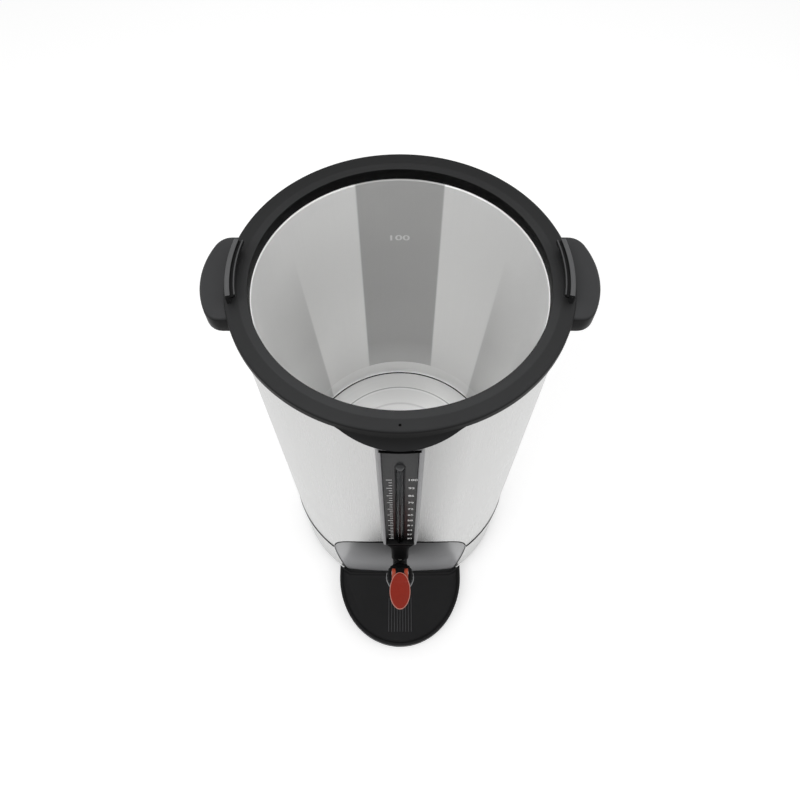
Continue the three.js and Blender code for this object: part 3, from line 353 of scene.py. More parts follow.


# Pairs of radius, or of degrees from the rear, and share
# Painted shade and reflection in rings along the floor's steps
FLOOR_PAINTED_RINGS = ((0, 1.0), (69.0, 0.98), (70.0, 0.82), (72.0, 0.82), (72.8, 1.0), (75.0, 0.96), (94.2, 0.9),
               (94.9, 1.0), (96.5, 1.0), (96.9, 0.55), (98.5, 0.55), (98.9, 1.0), (100.5, 1.0), (101.2, 0.9),
               (121.0, 0.85))
# The lugs' painted light: dark painted shade in the groove, the roof lighter on each side of it
LUG_PAINTED_LIGHT = ((136.0, 0.9), (138.0, 0.8), (138.5, 0.1), (140.8, 0.1), (141.3, 1.0))
SHELL_REFLECTION_BANDS = ((-180, 0.92), (-168, 0.97), (-155, 1.0), (-130, 0.97), (-95, 0.92), (-60, 1.0), (0, 0.95),
               (60, 1.0), (95, 0.92), (130, 0.97), (155, 1.0), (163, 0.87), (170, 0.71), (180, 0.73))
# The rim's painted shade: upright faces darker, the top outside the step darker, and the whole rim darker
# towards the rear
RIM_PAINTED_SHADE = [facing_up(0.12), by(from_axis, 136.0, 137.5, 1.0, 0.78), by(depth_at, -143.0, 143.0, 1.0, 0.56)]
steel("vessel_steel", (0.95, 0.95, 0.945), 0.38, UPRIGHT, 0.02, [wall_polish], Metallic=0.45)
steel("shell_steel", (0.54, 0.54, 0.535), 0.28, UPRIGHT, 0.015, [shell_polish], Metallic=1.0, Anisotropic=0.4)
steel("floor_steel", (0.98, 0.98, 0.975), 0.4, RINGS, 0.02, [radius_bands(FLOOR_PAINTED_RINGS, VESSEL)], Metallic=0.3)
plastic("rim_plastic", (0.047, 0.0475, 0.0485), 0.42, shades=RIM_PAINTED_SHADE)
# The lugs take a lighter copy of the rim's plastic, a painted highlight, with upright faces darker as painted
# shade
plastic("lug_painted_highlight", (0.11, 0.111, 0.113), 0.36,
        shades=[facing_up(0.15), radius_bands(LUG_PAINTED_LIGHT, RIM_RADIUS)])
# Handles and tray: upright faces darker, a painted shade
plastic("handle_plastic", (0.05, 0.0505, 0.052), 0.4, shades=[facing_up(0.2)])
plastic("tray_plastic", (0.0195, 0.0195, 0.02), 0.5, shades=[facing_up(0.4)])
# The fascia darkens towards the top of the arch, a painted shade
plastic("fascia_plastic", (0.455, 0.457, 0.467), 0.3, 0.01, [by(height_at, 205, 60, 0.2)], 0.3)
plastic("gauge_plastic", (0.32, 0.321, 0.327), 0.34, 0.02, [lower_bar])
# The scale plate darkens towards the bottom, a painted shade
plastic("scale_plastic", (0.034, 0.0345, 0.0355), 0.24, 0.006, [by(height_at, 250, 440, 0.12)])
# The channel is the tap's black lightened in its upper window, painted light, and dark below, painted shade
plastic("channel_painted_light", (0.08, 0.081, 0.083), 0.4, 0.01, [by(height_at, 372, 390, 0.06)])
# The lever's upright and lower faces are lighter, a painted highlight
plastic("lever_plastic", (0.265, 0.017, 0.006), 0.26, 0.008, [facing_up(1.9, 0.3, 0.8)], 0.2)
# The prongs take a lighter copy of the lever's red, a painted highlight
plastic("prong_painted_highlight", (0.5, 0.085, 0.045), 0.26, 0.008, specular=0.3)
# A light red for the lever's edge bead, a painted highlight
plastic("edge_painted_highlight", (0.5, 0.19, 0.15), 0.3, 0.008, specular=0.3)
plastic("neck_plastic", (0.005, 0.005, 0.0053), 0.4, 0.02, specular=0.03)
# Black for the dark seams and bead, and for painted shadow: the arch's line, the strip over the gauge and the
# rim hole's floor
plastic("seam_and_shadow_black", (0.003, 0.003, 0.003), 0.7, 0.01, specular=0.0)
plastic("foot_rubber", (0.012, 0.012, 0.012), 0.8, 0.06, grain=0.6)
# The ribs take a lighter copy of the tray's black, a painted highlight
plastic("rib_painted_highlight", (0.062, 0.062, 0.064), 0.45)
plastic("tap_plastic", (0.006, 0.006, 0.0063), 0.35, 0.02)
plastic("white_ink", (0.92, 0.92, 0.91), 0.5, 0.004)
plastic("etched_steel", (0.78, 0.78, 0.775), 0.5, 0.002)
plastic("seal_silicone", (0.5, 0.49, 0.46), 0.55, 0.02)
plastic("insulator", (0.75, 0.73, 0.68), 0.6, 0.03)
plastic("brown_insulation", (0.1, 0.04, 0.02), 0.4, 0.01)
plastic("blue_insulation", (0.03, 0.1, 0.25), 0.4, 0.01)
plastic("earth_insulation", (0.2, 0.35, 0.05), 0.4, 0.01)
metal("ring_metal", (0.7, 0.7, 0.71), 0.2)
# A darker copy of the ring's metal, a painted shade
metal("ring_painted_shade", (0.2, 0.2, 0.205), 0.35)
metal("fastener_steel", (0.6, 0.6, 0.61), 0.32)
metal("base_steel", (0.55, 0.56, 0.57), 0.4, scale=90.0)
metal("plate_aluminium", (0.6, 0.61, 0.62), 0.45)
metal("element_steel", (0.3, 0.29, 0.28), 0.5)
clear_plastic("clear_tube", (0.4, 0.41, 0.42), 1.06, 0.03, 0.1)

# Mesh helpers
SHARP_ANGLE = radians(35.0)
BEVEL_ANGLE = radians(40.0)


def make(name, rows, faces, slot, body="urn", bevel=0.0, material=None, replaces=None):
    """One object from points in millimetres, welded, facing out, smooth but for its sharp edges."""
    mesh = bpy.data.meshes.new(name)
    mesh.from_pydata([place(*point) for point in rows], [], faces)
    shape = bmesh.new()
    shape.from_mesh(mesh)
    bmesh.ops.remove_doubles(shape, verts=shape.verts, dist=1e-6)
    bmesh.ops.dissolve_degenerate(shape, edges=shape.edges, dist=1e-7)
    bmesh.ops.recalc_face_normals(shape, faces=shape.faces)
    shape.to_mesh(mesh)
    shape.free()
    mesh.polygons.foreach_set("use_smooth", [True] * len(mesh.polygons))
    mesh.set_sharp_from_angle(angle=SHARP_ANGLE)
    mesh.materials.append(MATERIALS[material or slot])
    made = new_object(name, mesh)
    if bevel:
        round_edges(made, bevel)
    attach(made, body)
    if replaces:
        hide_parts(replaces)
    return made


def round_edges(made, width, segments=3):
    rounding = made.modifiers.new("round", "BEVEL")
    rounding.width = width * MM
    rounding.segments = segments
    rounding.limit_method = "ANGLE"
    rounding.angle_limit = BEVEL_ANGLE
    rounding.harden_normals = True


def skin(rows, wrap=True, loop=False, caps=False):
    """Points and faces of a surface through rows of equally many points."""
    count = len(rows[0])
    points = [point for row in rows for point in row]
    faces = []
    for i in range(len(rows) if loop else len(rows) - 1):
        here, there = i * count, (i + 1) % len(rows) * count
        for j in range(count if wrap else count - 1):
            k = (j + 1) % count
            faces.append((here + j, here + k, there + k, there + j))
    if caps:
        faces.append(tuple(range(count)))
        faces.append(tuple(range(len(points) - count, len(points))))
    return points, faces


def joined(*surfaces):
    points, faces = [], []
    for some_points, some_faces in surfaces:
        base = len(points)
        points += some_points
        faces += [tuple(base + i for i in face) for face in some_faces]
    return points, faces


def even(start, end, steps):
    """Evenly spaced values, both ends among them."""
    return [start + (end - start) * i / steps for i in range(steps + 1)]


def bend(start, corner, end, steps):
    """Points of a curve from start to end that turns at the corner."""
    return [tuple(start * (1 - share) ** 2 + corner * 2 * share * (1 - share) + end * share ** 2)
            for share in even(0, 1, steps)]


def rounded(outline, steps=4, closed=True):
    """Corners given a radius as their third number become arcs."""
    result = []
    count = len(outline)
    for i, corner in enumerate(outline):
        here = Vector(corner[:2])
        radius = corner[2] if len(corner) > 2 else 0.0
        if radius == 0.0 or (not closed and i in (0, count - 1)):
            result.append(tuple(here))
            continue
        back = Vector(outline[i - 1][:2]) - here
        on = Vector(outline[(i + 1) % count][:2]) - here
        half = back.angle(on) / 2.0
        reach = min(radius / tan(half), back.length * 0.49, on.length * 0.49)
        result += bend(here + back.normalized() * reach, here, here + on.normalized() * reach, steps)
    return result


def block(left, right, low, high, rounds=None, steps=3):
    """A rectangle's corners from the lower left one on, rounded if told."""
    corners = [(left, low), (right, low), (right, high), (left, high)]
    if rounds is None:
        return corners
    return rounded([(*corner, size) for corner, size in zip(corners, rounds)], steps)


def turns(count):
    return even(0, FULL_TURN, count)[:-1]


def arc(centre, radii, start, end, steps):
    return [(centre[0] + radii[0] * cos(angle), centre[1] + radii[1] * sin(angle))
            for angle in even(start, end, steps)]


def oval(centre, radii, steps):
    return arc(centre, radii, 0.0, FULL_TURN, steps)[:-1]


def at(angle, radius, height):
    """A point by its angle round the urn's axis from +X."""
    return (radius * cos(angle), radius * sin(angle), height)


def circle(radius, height, segments, centre=(0.0, 0.0)):
    return [(x, y, height) for x, y in oval(centre, (radius, radius), segments)]


def lathe(outline, segments=64, centre=(0.0, 0.0)):
    return skin([circle(radius, height, segments, centre) for radius, height in outline], loop=True)


def turned_ahead(outline, height):
    """A lathe about an axis along -Y: outline pairs are radius and distance ahead."""
    points, faces = lathe(outline, 48)
    return [(a, -distance, height + b) for a, b, distance in points], faces


def swept(profile, middle, half_angle, steps=24):
    """A profile of radius and height pairs swept round the axis, both ends closed."""
    angles = even(middle - half_angle, middle + half_angle, steps)
    return skin([[at(angle, *pair) for pair in profile] for angle in angles], caps=True)


def slab(outline, place_point, low, high):
    """A prism of an outline, its two ends closed."""
    return skin([[place_point(a, b, level) for a, b in outline] for level in (low, high)], caps=True)


def ahead(a, b, level):
    return (a, -level, b)


def across(a, b, level):
    return (level, a, b)


def rounded_box(x, y, z, half_x, half_z, radius, steps=5):
    """A rounded rectangle that faces along Y."""
    points = []
    for sx, sz, start in ((1, 1, 0), (-1, 1, 1), (-1, -1, 2), (1, -1, 3)):
        centre = (x + sx * (half_x - radius), z + sz * (half_z - radius))
        points += arc(centre, (radius, radius), start * QUARTER, (start + 1) * QUARTER, steps)
    return [(a, y, b) for a, b in points]


# Vessel: outlines here and below are radius, height and, at a rounded corner, its radius
BODY_SEGMENTS = 192
SEAM_RING = 123.4
CORNER_RISE, CORNER_STEPS = 18.0, 8
FLANGE_DROP = 5.0
corner_shares = even(0, 1, CORNER_STEPS)
vessel_corner = [(VESSEL - (VESSEL - SEAM_RING) * share ** 2, FLOOR + CORNER_RISE * (1 - share) ** 2)
                 for share in corner_shares]
wall_outline = vessel_corner[::-1] + rounded([
    (VESSEL, FLOOR + CORNER_RISE + 2.0), (VESSEL, LIP, 1.6), (SHELL_INSIDE, LIP, 1.0),
    (SHELL_INSIDE, LIP - FLANGE_DROP), (SHELL_INSIDE - SHEET, LIP - FLANGE_DROP),
    (SHELL_INSIDE - SHEET, LIP - SHEET), (VESSEL + SHEET, LIP - SHEET, 0.6),
    (VESSEL + SHEET, FLOOR + CORNER_RISE),
], closed=False)
wall_outline += [(radius + SHEET * share, height - SHEET * (1 - share))
                 for share, (radius, height) in zip(reversed(corner_shares), vessel_corner)]
make("vessel", *lathe(wall_outline, BODY_SEGMENTS), "vessel_steel", replaces="inner_vessel")

# The floor's steps from the middle out, its corner radii, and the same steps one sheet lower
FLOOR_EDGE = SEAM_RING - 0.9
FLOOR_STEPS = ((20.0, FLOOR - 5.0, FLOOR + 4.0), (73.0, FLOOR + 4.0, FLOOR + 2.0), (99.0, FLOOR + 2.0, FLOOR))
STEP_ROUNDS = (2.5, 1.5, 1.2, 0.8, 1.2, 0.8)
upper = [(radius, height) for radius, *heights in FLOOR_STEPS for height in heights]
lower = [(radius + SHEET, height - SHEET) for radius, height in reversed(upper)]
floor_outline = rounded(
    [(0.0, upper[0][1])] + [(*pair, size) for pair, size in zip(upper, STEP_ROUNDS)]
    + [(FLOOR_EDGE, FLOOR, 0.3), (FLOOR_EDGE, FLOOR - SHEET)] + lower + [(0.0, lower[-1][1])], closed=False)
make("vessel_floor", *lathe(floor_outline, BODY_SEGMENTS), "vessel_steel", material="floor_steel")

# Dark weld seam where the floor meets the wall
weld_outline = oval((SEAM_RING - 0.5, FLOOR + 0.2), (0.85, 0.85), 8)
make("floor_seam", *lathe(weld_outline, BODY_SEGMENTS), "vessel_steel", material="seam_and_shadow_black")

# Shell, skirt and fascia
SHELL_TOP = RIM_TOP - 4.0
SHELL_FRONT, SHELL_REAR, SHELL_LEVELS = 72, 120, 10


def arch_half(height, margin=0.0):
    if height >= ARCH_WAIST:
        share = (height - ARCH_WAIST) / (ARCH_CROWN + margin - ARCH_WAIST)
        return (ARCH_HALF + margin) * max(0.0, 1 - share ** ARCH_POWER) ** (1 / ARCH_POWER)
    share = (ARCH_WAIST - height) / (ARCH_WAIST - LEDGE)
    return ARCH_HALF + margin - (ARCH_HALF - ARCH_FOOT_HALF) * share * share


def arch_point(turn):
    """Shares of the arch's half width and rise, at a turn from its right foot to its left one."""
    side = cos(turn)
    return copysign(abs(side) ** (2 / ARCH_POWER), side), sin(turn) ** (2 / ARCH_POWER)


def both_faces(rows):
    """Outer and inner faces of a sheet round the body, from rows of angle and height."""
    outer, inner = [[[at(angle, radius, height) for angle, height in row] for row in rows]
                    for radius in (SHELL, SHELL - SHEET)]
    return outer + inner[::-1]


def shell_grid():
    """Columns round the body, the front ones end on the arch."""
    half, rise = ARCH_HALF + GAP, ARCH_CROWN + GAP - ARCH_WAIST
    bottom = SEAM + GAP
    columns = []
    for turn in even(0, pi, SHELL_FRONT):
        aside, lift = arch_point(turn)
        columns.append((-QUARTER + asin(half * aside / SHELL), max(bottom, ARCH_WAIST + rise * lift)))
    columns.reverse()
    rear = even(columns[-1][0], columns[0][0] + FULL_TURN, SHELL_REAR)[1:-1]
    columns += [(angle, bottom) for angle in rear]
    return both_faces([[(angle, foot + (SHELL_TOP - foot) * share) for angle, foot in columns]
                       for share in even(0, 1, SHELL_LEVELS)])


make("shell", *skin(shell_grid(), loop=True), "shell_steel", replaces="outer_shell")

INLET, INLET_HOLE_X, INLET_HOLE_Z = 55.0, 14.3, 11.3
SKIRT_STEPS, HOLE_STEPS, SIDE_COLUMNS = 3, 4, 73
HOLE_ROWS = (SKIRT_STEPS, SKIRT_STEPS + HOLE_STEPS)
HOLE_COLUMNS = (SIDE_COLUMNS, SIDE_COLUMNS + HOLE_STEPS)


def skirt_grid():
    """The skirt's ends lie on the arch, and some of its rows and columns run round the inlet."""
    hole = asin(INLET_HOLE_X / SHELL)
    stops = (LEDGE + GAP, INLET - INLET_HOLE_Z, INLET + INLET_HOLE_Z, SEAM - GAP)
    heights = []
    for low, high, steps in zip(stops, stops[1:], (SKIRT_STEPS, HOLE_STEPS, SKIRT_STEPS)):
        heights += even(low, high, steps)[:-1]
    rows = []
    for height in heights + [stops[-1]]:
        start = asin(arch_half(height, GAP) / SHELL)
        side = even(start, pi - hole, SIDE_COLUMNS)[:-1]
        row = side + even(pi - hole, pi + hole, HOLE_STEPS)
        row += [FULL_TURN - turn for turn in reversed(side)]
        rows.append([(turn - QUARTER, height) for turn in row])
    return both_faces(rows)


def skirt_surface():
    """The skirt's skin, closed along the arch and open where the inlet goes through."""
    rows = skirt_grid()
    width, last = len(rows[0]), len(rows) - 1
    points, sheet = skin(rows, wrap=False, loop=True)
    low, high = HOLE_ROWS
    left, right = HOLE_COLUMNS

    def through(row, column):
        return low <= min(row, last - 1 - row) < high and left <= column < right

    def close(*spots):
        (a, c), (b, d) = ((row * width + column, (last - row) * width + column) for row, column in spots)
        surface.append((a, b, d, c))

    surface = [face for i, face in enumerate(sheet) if not through(*divmod(i, width - 1))]
    whole = (0, last // 2)
    for column, span in ((0, whole), (width - 1, whole), (left, HOLE_ROWS), (right, HOLE_ROWS)):
        for row in range(*span):
            close((row, column), (row + 1, column))
    for row in HOLE_ROWS:
        for column in range(left, right):
            close((row, column), (row, column + 1))
    return points, surface


make("skirt", *skirt_surface(), "shell_steel", replaces="lower_skirt")

# Dark bead in the joint of shell and skirt, open over the arch
BEAD_PAIRS = ((-1.8, -2.0), (0.35, -2.0), (0.7, -1.6))
bead_outline = [(SHELL + proud, SEAM + rise) for proud, rise in BEAD_PAIRS]
bead_outline += [(radius, 2 * SEAM - height) for radius, height in reversed(bead_outline)]
bead_half_angle = pi - asin(arch_half(SEAM, 1.0) / SHELL)
make("seam_bead", *swept(bead_outline, QUARTER, bead_half_angle, 160), "tray_plastic", material="seam_and_shadow_black")

LINE_START, LINE_END, LINE_STEPS = 0.06 * pi, 0.94 * pi, 120
LINE_THIN, LINE_SWELL, LINE_PROUD = 0.5, 1.8, 0.5


def arch_line():
    """A dark line under the arch's crown, widest in the middle: a painted shadow."""
    rise, rows = ARCH_CROWN - ARCH_WAIST, []
    for turn in even(LINE_START, LINE_END, LINE_STEPS):
        aside, lift = arch_point(turn)
        half_width = LINE_THIN + LINE_SWELL * sin(turn) ** 4
        out = Vector((copysign(abs(aside) ** (ARCH_POWER - 1) / ARCH_HALF, aside),
                      lift ** (ARCH_POWER - 1) / rise)).normalized()
        row = []
        for inset, radius in oval((-half_width, SHELL - 0.1), (half_width, LINE_PROUD), 10):
            angle = asin((ARCH_HALF * aside + out.x * inset) / SHELL) - QUARTER
            row.append(at(angle, radius, ARCH_WAIST + rise * lift + out.y * inset))
        rows.append(row)
    return rows


make("arch_line", *skin(arch_line(), caps=True), "fascia_plastic", material="seam_and_shadow_black")

FASCIA_LEVELS, FASCIA_COLUMNS = 44, 40
FASCIA_EDGE, FASCIA_EDGE_BEND = 0.985, 0.5
CROWN_HALF = 0.05


def fascia_ahead(x, height):
    level = min(height, ARCH_CROWN - SHEET)
    centre = SHELL - FASCIA_LEAN * (ARCH_CROWN - level) / (ARCH_CROWN - LEDGE)
    half = arch_half(level)
    edge = sqrt(SHELL ** 2 - half ** 2)
    return centre - (centre - edge) * (x / half) ** 2 - FASCIA_INSET


def fascia_rows():
    """Rows from the base to the crown, each across the arch, front face then back face."""
    rows = []
    for turn in even(0, QUARTER, FASCIA_LEVELS):
        height = LEDGE + GAP + (ARCH_CROWN - GAP - LEDGE - GAP) * sin(turn)
        half = max(CROWN_HALF, arch_half(min(height, ARCH_CROWN - GAP), -GAP))
        front, back = [], []
        for share in even(-1, 1, FASCIA_COLUMNS):
            x = half * share
            y = -fascia_ahead(x, height)
            edge = max(0.0, (abs(share) - FASCIA_EDGE) / (1 - FASCIA_EDGE))
            front.append((x, y + FASCIA_EDGE_BEND * edge * edge, height))
            back.append((x, y + FASCIA_THICK, height))
        rows.append(front + back[::-1])
    return rows


make("fascia", *skin(fascia_rows(), caps=True), "fascia_plastic", replaces="front_fascia")

# Rim with fairing and lugs
FAIRING_HALF = radians(19.0)
FAIRING_DROP = 14.0
FAIRING_BULGE = 5.7
FAIRING_STEPS = 8
FAIRING_LIP = 0.6
RIM_ROUND = 2.6
RIM_WALL = 2.5
RIM_ROOF = 507.0
RIM_STEP = 136.4
RIM_SEGMENTS = 240


def rim_rows():
    rows = []
    inside = rounded([
        (RIM_INNER + RIM_WALL, RIM_ROOF), (RIM_INNER + RIM_WALL, LIP + GAP), (RIM_INNER, LIP + GAP, 0.4),
        (RIM_INNER, RIM_TOP, 0.9), (RIM_STEP, RIM_TOP, 0.6), (RIM_SIDE - RIM_ROUND, RIM_CROWN),
    ], 3, closed=False)
    inside += arc((RIM_SIDE - RIM_ROUND, RIM_CROWN - RIM_ROUND), (RIM_ROUND, RIM_ROUND), QUARTER, 0.0, 8)[1:]
    for angle in turns(RIM_SEGMENTS):
        turn = (angle + QUARTER + pi) % FULL_TURN - pi
        swell = 1 - min(1.0, abs(turn) / FAIRING_HALF) ** 2
        bottom = RIM_FOOT - FAIRING_DROP * swell
        bulge = FAIRING_BULGE * swell
        outline = list(inside)
        for share in even(1, 0, FAIRING_STEPS)[1:]:
            outline.append((RIM_SIDE + bulge * (1 - share) ** 2,
                            bottom + FAIRING_LIP + (RIM_FOOT + 1.5 - bottom) * share))
        outline += [(RIM_SIDE + bulge - FAIRING_LIP, bottom), (SHELL_FACE, bottom), (SHELL_FACE, RIM_ROOF)]
        rows.append([at(angle, *pair) for pair in outline])
    return rows


make("rim", *skin(rim_rows(), loop=True), "rim_plastic", replaces="top_rim")

LUG_RADIUS, LUG_INNER, LUG_WALL, LUG_HALF = 145.5, 137.0, 3.0, 31.0
LUG_FOOT, LUG_ROOF, LUG_TOP = 509.0, 518.0, 522.0
GROOVE_INNER, GROOVE_OUTER, GROOVE_FLOOR, GROOVE_SLOPE = 138.6, 140.8, 519.8, 0.3
lug_profile = rounded([
    (LUG_RADIUS - LUG_WALL, LUG_FOOT), (LUG_RADIUS - LUG_WALL, LUG_ROOF, 0.6), (LUG_INNER, LUG_ROOF, 0.5),
    (LUG_INNER, LUG_TOP, 0.8), (GROOVE_INNER - GROOVE_SLOPE, LUG_TOP, 0.4),
    (GROOVE_INNER, GROOVE_FLOOR, 0.3), (GROOVE_OUTER, GROOVE_FLOOR, 0.3),
    (GROOVE_OUTER + GROOVE_SLOPE, LUG_TOP, 0.5), (LUG_RADIUS, LUG_TOP, 1.6), (LUG_RADIUS, LUG_FOOT),
], 3)
for side, middle in (("right", 0.0), ("left", pi)):
    make(f"lid_lug_{side}", *swept(lug_profile, middle, asin(LUG_HALF / LUG_RADIUS)), "rim_plastic",
         bevel=0.6, material="lug_painted_highlight")

# Blind hole in the rim's top, at the front, its black floor a painted shade
HOLE_RADIUS, HOLE_LOW, HOLE_HIGH, HOLE_SPOT = 1.05, RIM_TOP + 0.8, RIM_TOP + 1.6, (0.0, -142.4)
make("rim_hole", *lathe(block(0.0, HOLE_RADIUS, HOLE_LOW, HOLE_HIGH), 20, HOLE_SPOT), "rim_plastic",
     material="seam_and_shadow_black")

# Handles
HANDLE_HALF, HANDLE_REACH, HANDLE_BULGE, HANDLE_CORNER = 45.0, 170.0, 13.0, 9.0
HANDLE_TOP, HANDLE_ROUND = RIM_TOP, 3.2
HANDLE_SIDE, HOLLOW_SIDE = 147.3, 153.3
BULGE_RADIUS = (HANDLE_HALF ** 2 + HANDLE_BULGE ** 2) / (2 * HANDLE_BULGE)


def handle_loop(inset, height, inner):
    half = HANDLE_HALF - inset
    centre = HANDLE_REACH - inset - BULGE_RADIUS
    turn = asin((half - HANDLE_CORNER) / BULGE_RADIUS)
    corner = Vector((centre + sqrt(BULGE_RADIUS ** 2 - half ** 2), half))
    start = Vector((corner.x - HANDLE_CORNER, half))
    end = Vector((centre + BULGE_RADIUS * cos(turn), BULGE_RADIUS * sin(turn)))
    side = bend(start, corner, end, 8)
    bow = arc((centre, 0.0), (BULGE_RADIUS, BULGE_RADIUS), turn, -turn, 16)[1:-1]
    foot = asin(half / inner)
    body_side = arc((0.0, 0.0), (inner, inner), -foot, foot, 10)
    return [(x, y, height) for x, y in side + bow + [(x, -y) for x, y in reversed(side)] + body_side]


def handle_surface():
    """The hollow from its roof down, the lower edge, and the outside up to the top."""
    hollow = [(3.0, 507.0), (3.0, 493.0)]
    outside = [(2.5, 492.2), (1.8, 492.0), (1.0, 492.1), (0.3, 492.6), (0.0, 493.4), (0.0, 500.0)]
    outside += arc((HANDLE_ROUND, HANDLE_TOP - HANDLE_ROUND), (-HANDLE_ROUND, HANDLE_ROUND), 0.0, QUARTER, 6)
    sides = ((hollow, HOLLOW_SIDE), (outside, HANDLE_SIDE))
    return skin([handle_loop(*pair, inner) for pairs, inner in sides for pair in pairs], caps=True)


def mirrored_side(surface, side):
    points, faces = surface
    return [(side * x, side * y, z) for x, y, z in points], faces


BRACKET_LOW, BRACKET_HIGH, BRACKET_OUT, BRACKET_HALF = 470.0, 496.0, 147.8, 22.0
WEB_LOW, WEB_HIGH, WEB_OUT = 492.0, 501.0, 153.0
bracket = joined(*(swept(profile, 0.0, asin(BRACKET_HALF / SHELL)) for profile in (
    block(SHELL_FACE, BRACKET_OUT, BRACKET_LOW, BRACKET_HIGH, (0.5, 1.4, 0.0, 0.0)),
    block(SHELL_FACE, WEB_OUT, WEB_LOW, WEB_HIGH),
)))

SCREW_OUTLINE = ((2.0, -8.0), (2.0, 0.0), (4.0, 0.0), (4.2, 0.3), (4.1, 1.0), (3.6, 1.8), (2.9, 2.3),
                 (2.3, 2.45))
SCREW_SEAT, SCREW_HEIGHT, SCREW_ASIDE = 147.9, 480.0, 14.0
SOCKET_FLAT, SOCKET_LEVELS = 1.6, (2.45, 1.0)


def screw_head():
    """A domed head with a hexagon socket, its seat at height zero, its axis along Z."""
    rows = [circle(radius, height, 36) for radius, height in SCREW_OUTLINE]
    socket = [(angle, SOCKET_FLAT / cos((angle + pi / 6) % (pi / 3) - pi / 6)) for angle in turns(36)]
    rows += [[at(*pair, height) for pair in socket] for height in SOCKET_LEVELS]
    return skin(rows, caps=True)


for side, sign in SIDES:
    make(f"handle_{side}_moulding", *mirrored_side(handle_surface(), sign), "handle_plastic",
         replaces=f"handle_{side}")
    make(f"handle_{side}_bracket", *mirrored_side(bracket, sign), "handle_plastic", bevel=0.6)
    for number, aside in ((1, -SCREW_ASIDE), (2, SCREW_ASIDE)):
        head, head_faces = screw_head()
        turned_head = [(sign * (SCREW_SEAT + z), sign * (aside + a), SCREW_HEIGHT + b) for a, b, z in head]
        make(f"handle_{side}_screw_{number}", turned_head, head_faces, "fastener_steel",
             replaces=f"handle_screw_{side}_{number}")

# Gauge: the frame's loops are half width, drop from its ends, distance ahead and corner radius
GAUGE_LOW, GAUGE_HIGH = 237.0, 489.0
GAUGE_LOOPS = (
    (20.0, 0.0, 141.0, 1.5), (20.0, 0.0, SHELL_FACE, 1.5), (17.9, 0.3, 152.0, 1.5), (17.6, 0.45, 152.7, 1.5),
    (17.1, 0.8, 153.0, 1.4), (16.2, 1.8, 153.0, 1.0), (15.6, 2.5, 152.8, 0.8), (15.35, 2.7, 152.2, 0.6),
    (15.3, 2.7, 146.2, 0.6),
)
gauge_middle, gauge_half = (GAUGE_LOW + GAUGE_HIGH) / 2, (GAUGE_HIGH - GAUGE_LOW) / 2
frame_rows = [rounded_box(0.0, -distance, gauge_middle, half, gauge_half - drop, radius)
              for half, drop, distance, radius in GAUGE_LOOPS]
make("gauge_frame", *skin(frame_rows, caps=True), "gauge_plastic", replaces="gauge_housing")

# A black strip under the fairing's lower edge, above the gauge frame: a painted shadow
SHADOW_INNER, SHADOW_OUTER, SHADOW_LOW, SHADOW_HALF = 153.4, 154.7, 486.6, 16.6
shadow_strip = block(SHADOW_INNER, SHADOW_OUTER, SHADOW_LOW, GAUGE_HIGH, (0.0, 0.4, 0.4, 0.0))
make("gauge_top_shadow", *swept(shadow_strip, -QUARTER, asin(SHADOW_HALF / SHADOW_OUTER)), "gauge_plastic",
     material="seam_and_shadow_black")

PLATE_HALF, PLATE_LOW, PLATE_HIGH = 15.0, 240.0, 486.0
PLATE_BACK, PLATE_FACE = 146.5, 148.5
SLOT_HALF, SLOT_TOP = 4.4, 450.3
plate_outline = rounded([
    (-PLATE_HALF, PLATE_LOW, 0.5), (-SLOT_HALF, PLATE_LOW, 0.3), (-SLOT_HALF, SLOT_TOP, 1.5),
    (SLOT_HALF, SLOT_TOP, 1.5), (SLOT_HALF, PLATE_LOW, 0.3), (PLATE_HALF, PLATE_LOW, 0.5),
    (PLATE_HALF, PLATE_HIGH, 0.5), (-PLATE_HALF, PLATE_HIGH, 0.5),
])
make("gauge_plate", *slab(plate_outline, ahead, PLATE_BACK, PLATE_FACE), "scale_plastic", bevel=0.25,
     replaces="gauge_scale_plate")
CHANNEL_LOW, CHANNEL_HIGH, CHANNEL_BACK, CHANNEL_FACE = 239.0, 450.0, 145.9, 146.3
channel_outline = block(-SLOT_HALF, SLOT_HALF, CHANNEL_LOW, CHANNEL_HIGH)
make("gauge_channel", *slab(channel_outline, ahead, CHANNEL_BACK, CHANNEL_FACE), "tap_plastic",
     material="channel_painted_light")

# The neck's heights and half widths; the black flare at the top is a painted shadow of the gauge on the
# fascia
NECK_LEVELS = ((180.3, 10.0), (212.0, 10.0), (222.0, 10.6), (230.0, 12.4), (236.7, 15.4))
NECK_FACE, NECK_ROUND = 154.0, 4.0
neck_rows = []
for height, half in NECK_LEVELS:
    outline = rounded([(-half, -SHELL_FACE), (-half, -NECK_FACE, NECK_ROUND), (half, -NECK_FACE, NECK_ROUND),
                       (half, -SHELL_FACE)], 6)
    neck_rows.append([(x, y, height) for x, y in outline])
make("gauge_neck", *skin(neck_rows, caps=True), "gauge_plastic", bevel=0.6,
     material="neck_plastic", replaces="gauge_neck_cover")

TUBE_INNER, TUBE_OUTER, TUBE_LOW, TUBE_HIGH = 2.6, 3.8, 172.5, 446.0
TUBE_SPOT = (0.0, -148.2)
CAP_LOW, CAP_HIGH = 441.0, 450.0
make("sight_glass", *lathe(block(TUBE_INNER, TUBE_OUTER, TUBE_LOW, TUBE_HIGH), 32, TUBE_SPOT), "clear_tube",
     replaces="sight_tube")
cap_outline = rounded([
    (0.0, CAP_LOW), (TUBE_INNER - GAP, CAP_LOW), (TUBE_INNER - GAP, TUBE_HIGH + GAP),
    (TUBE_OUTER, TUBE_HIGH + GAP), (TUBE_OUTER, CAP_HIGH, 1.0), (0.0, CAP_HIGH),
], closed=False)
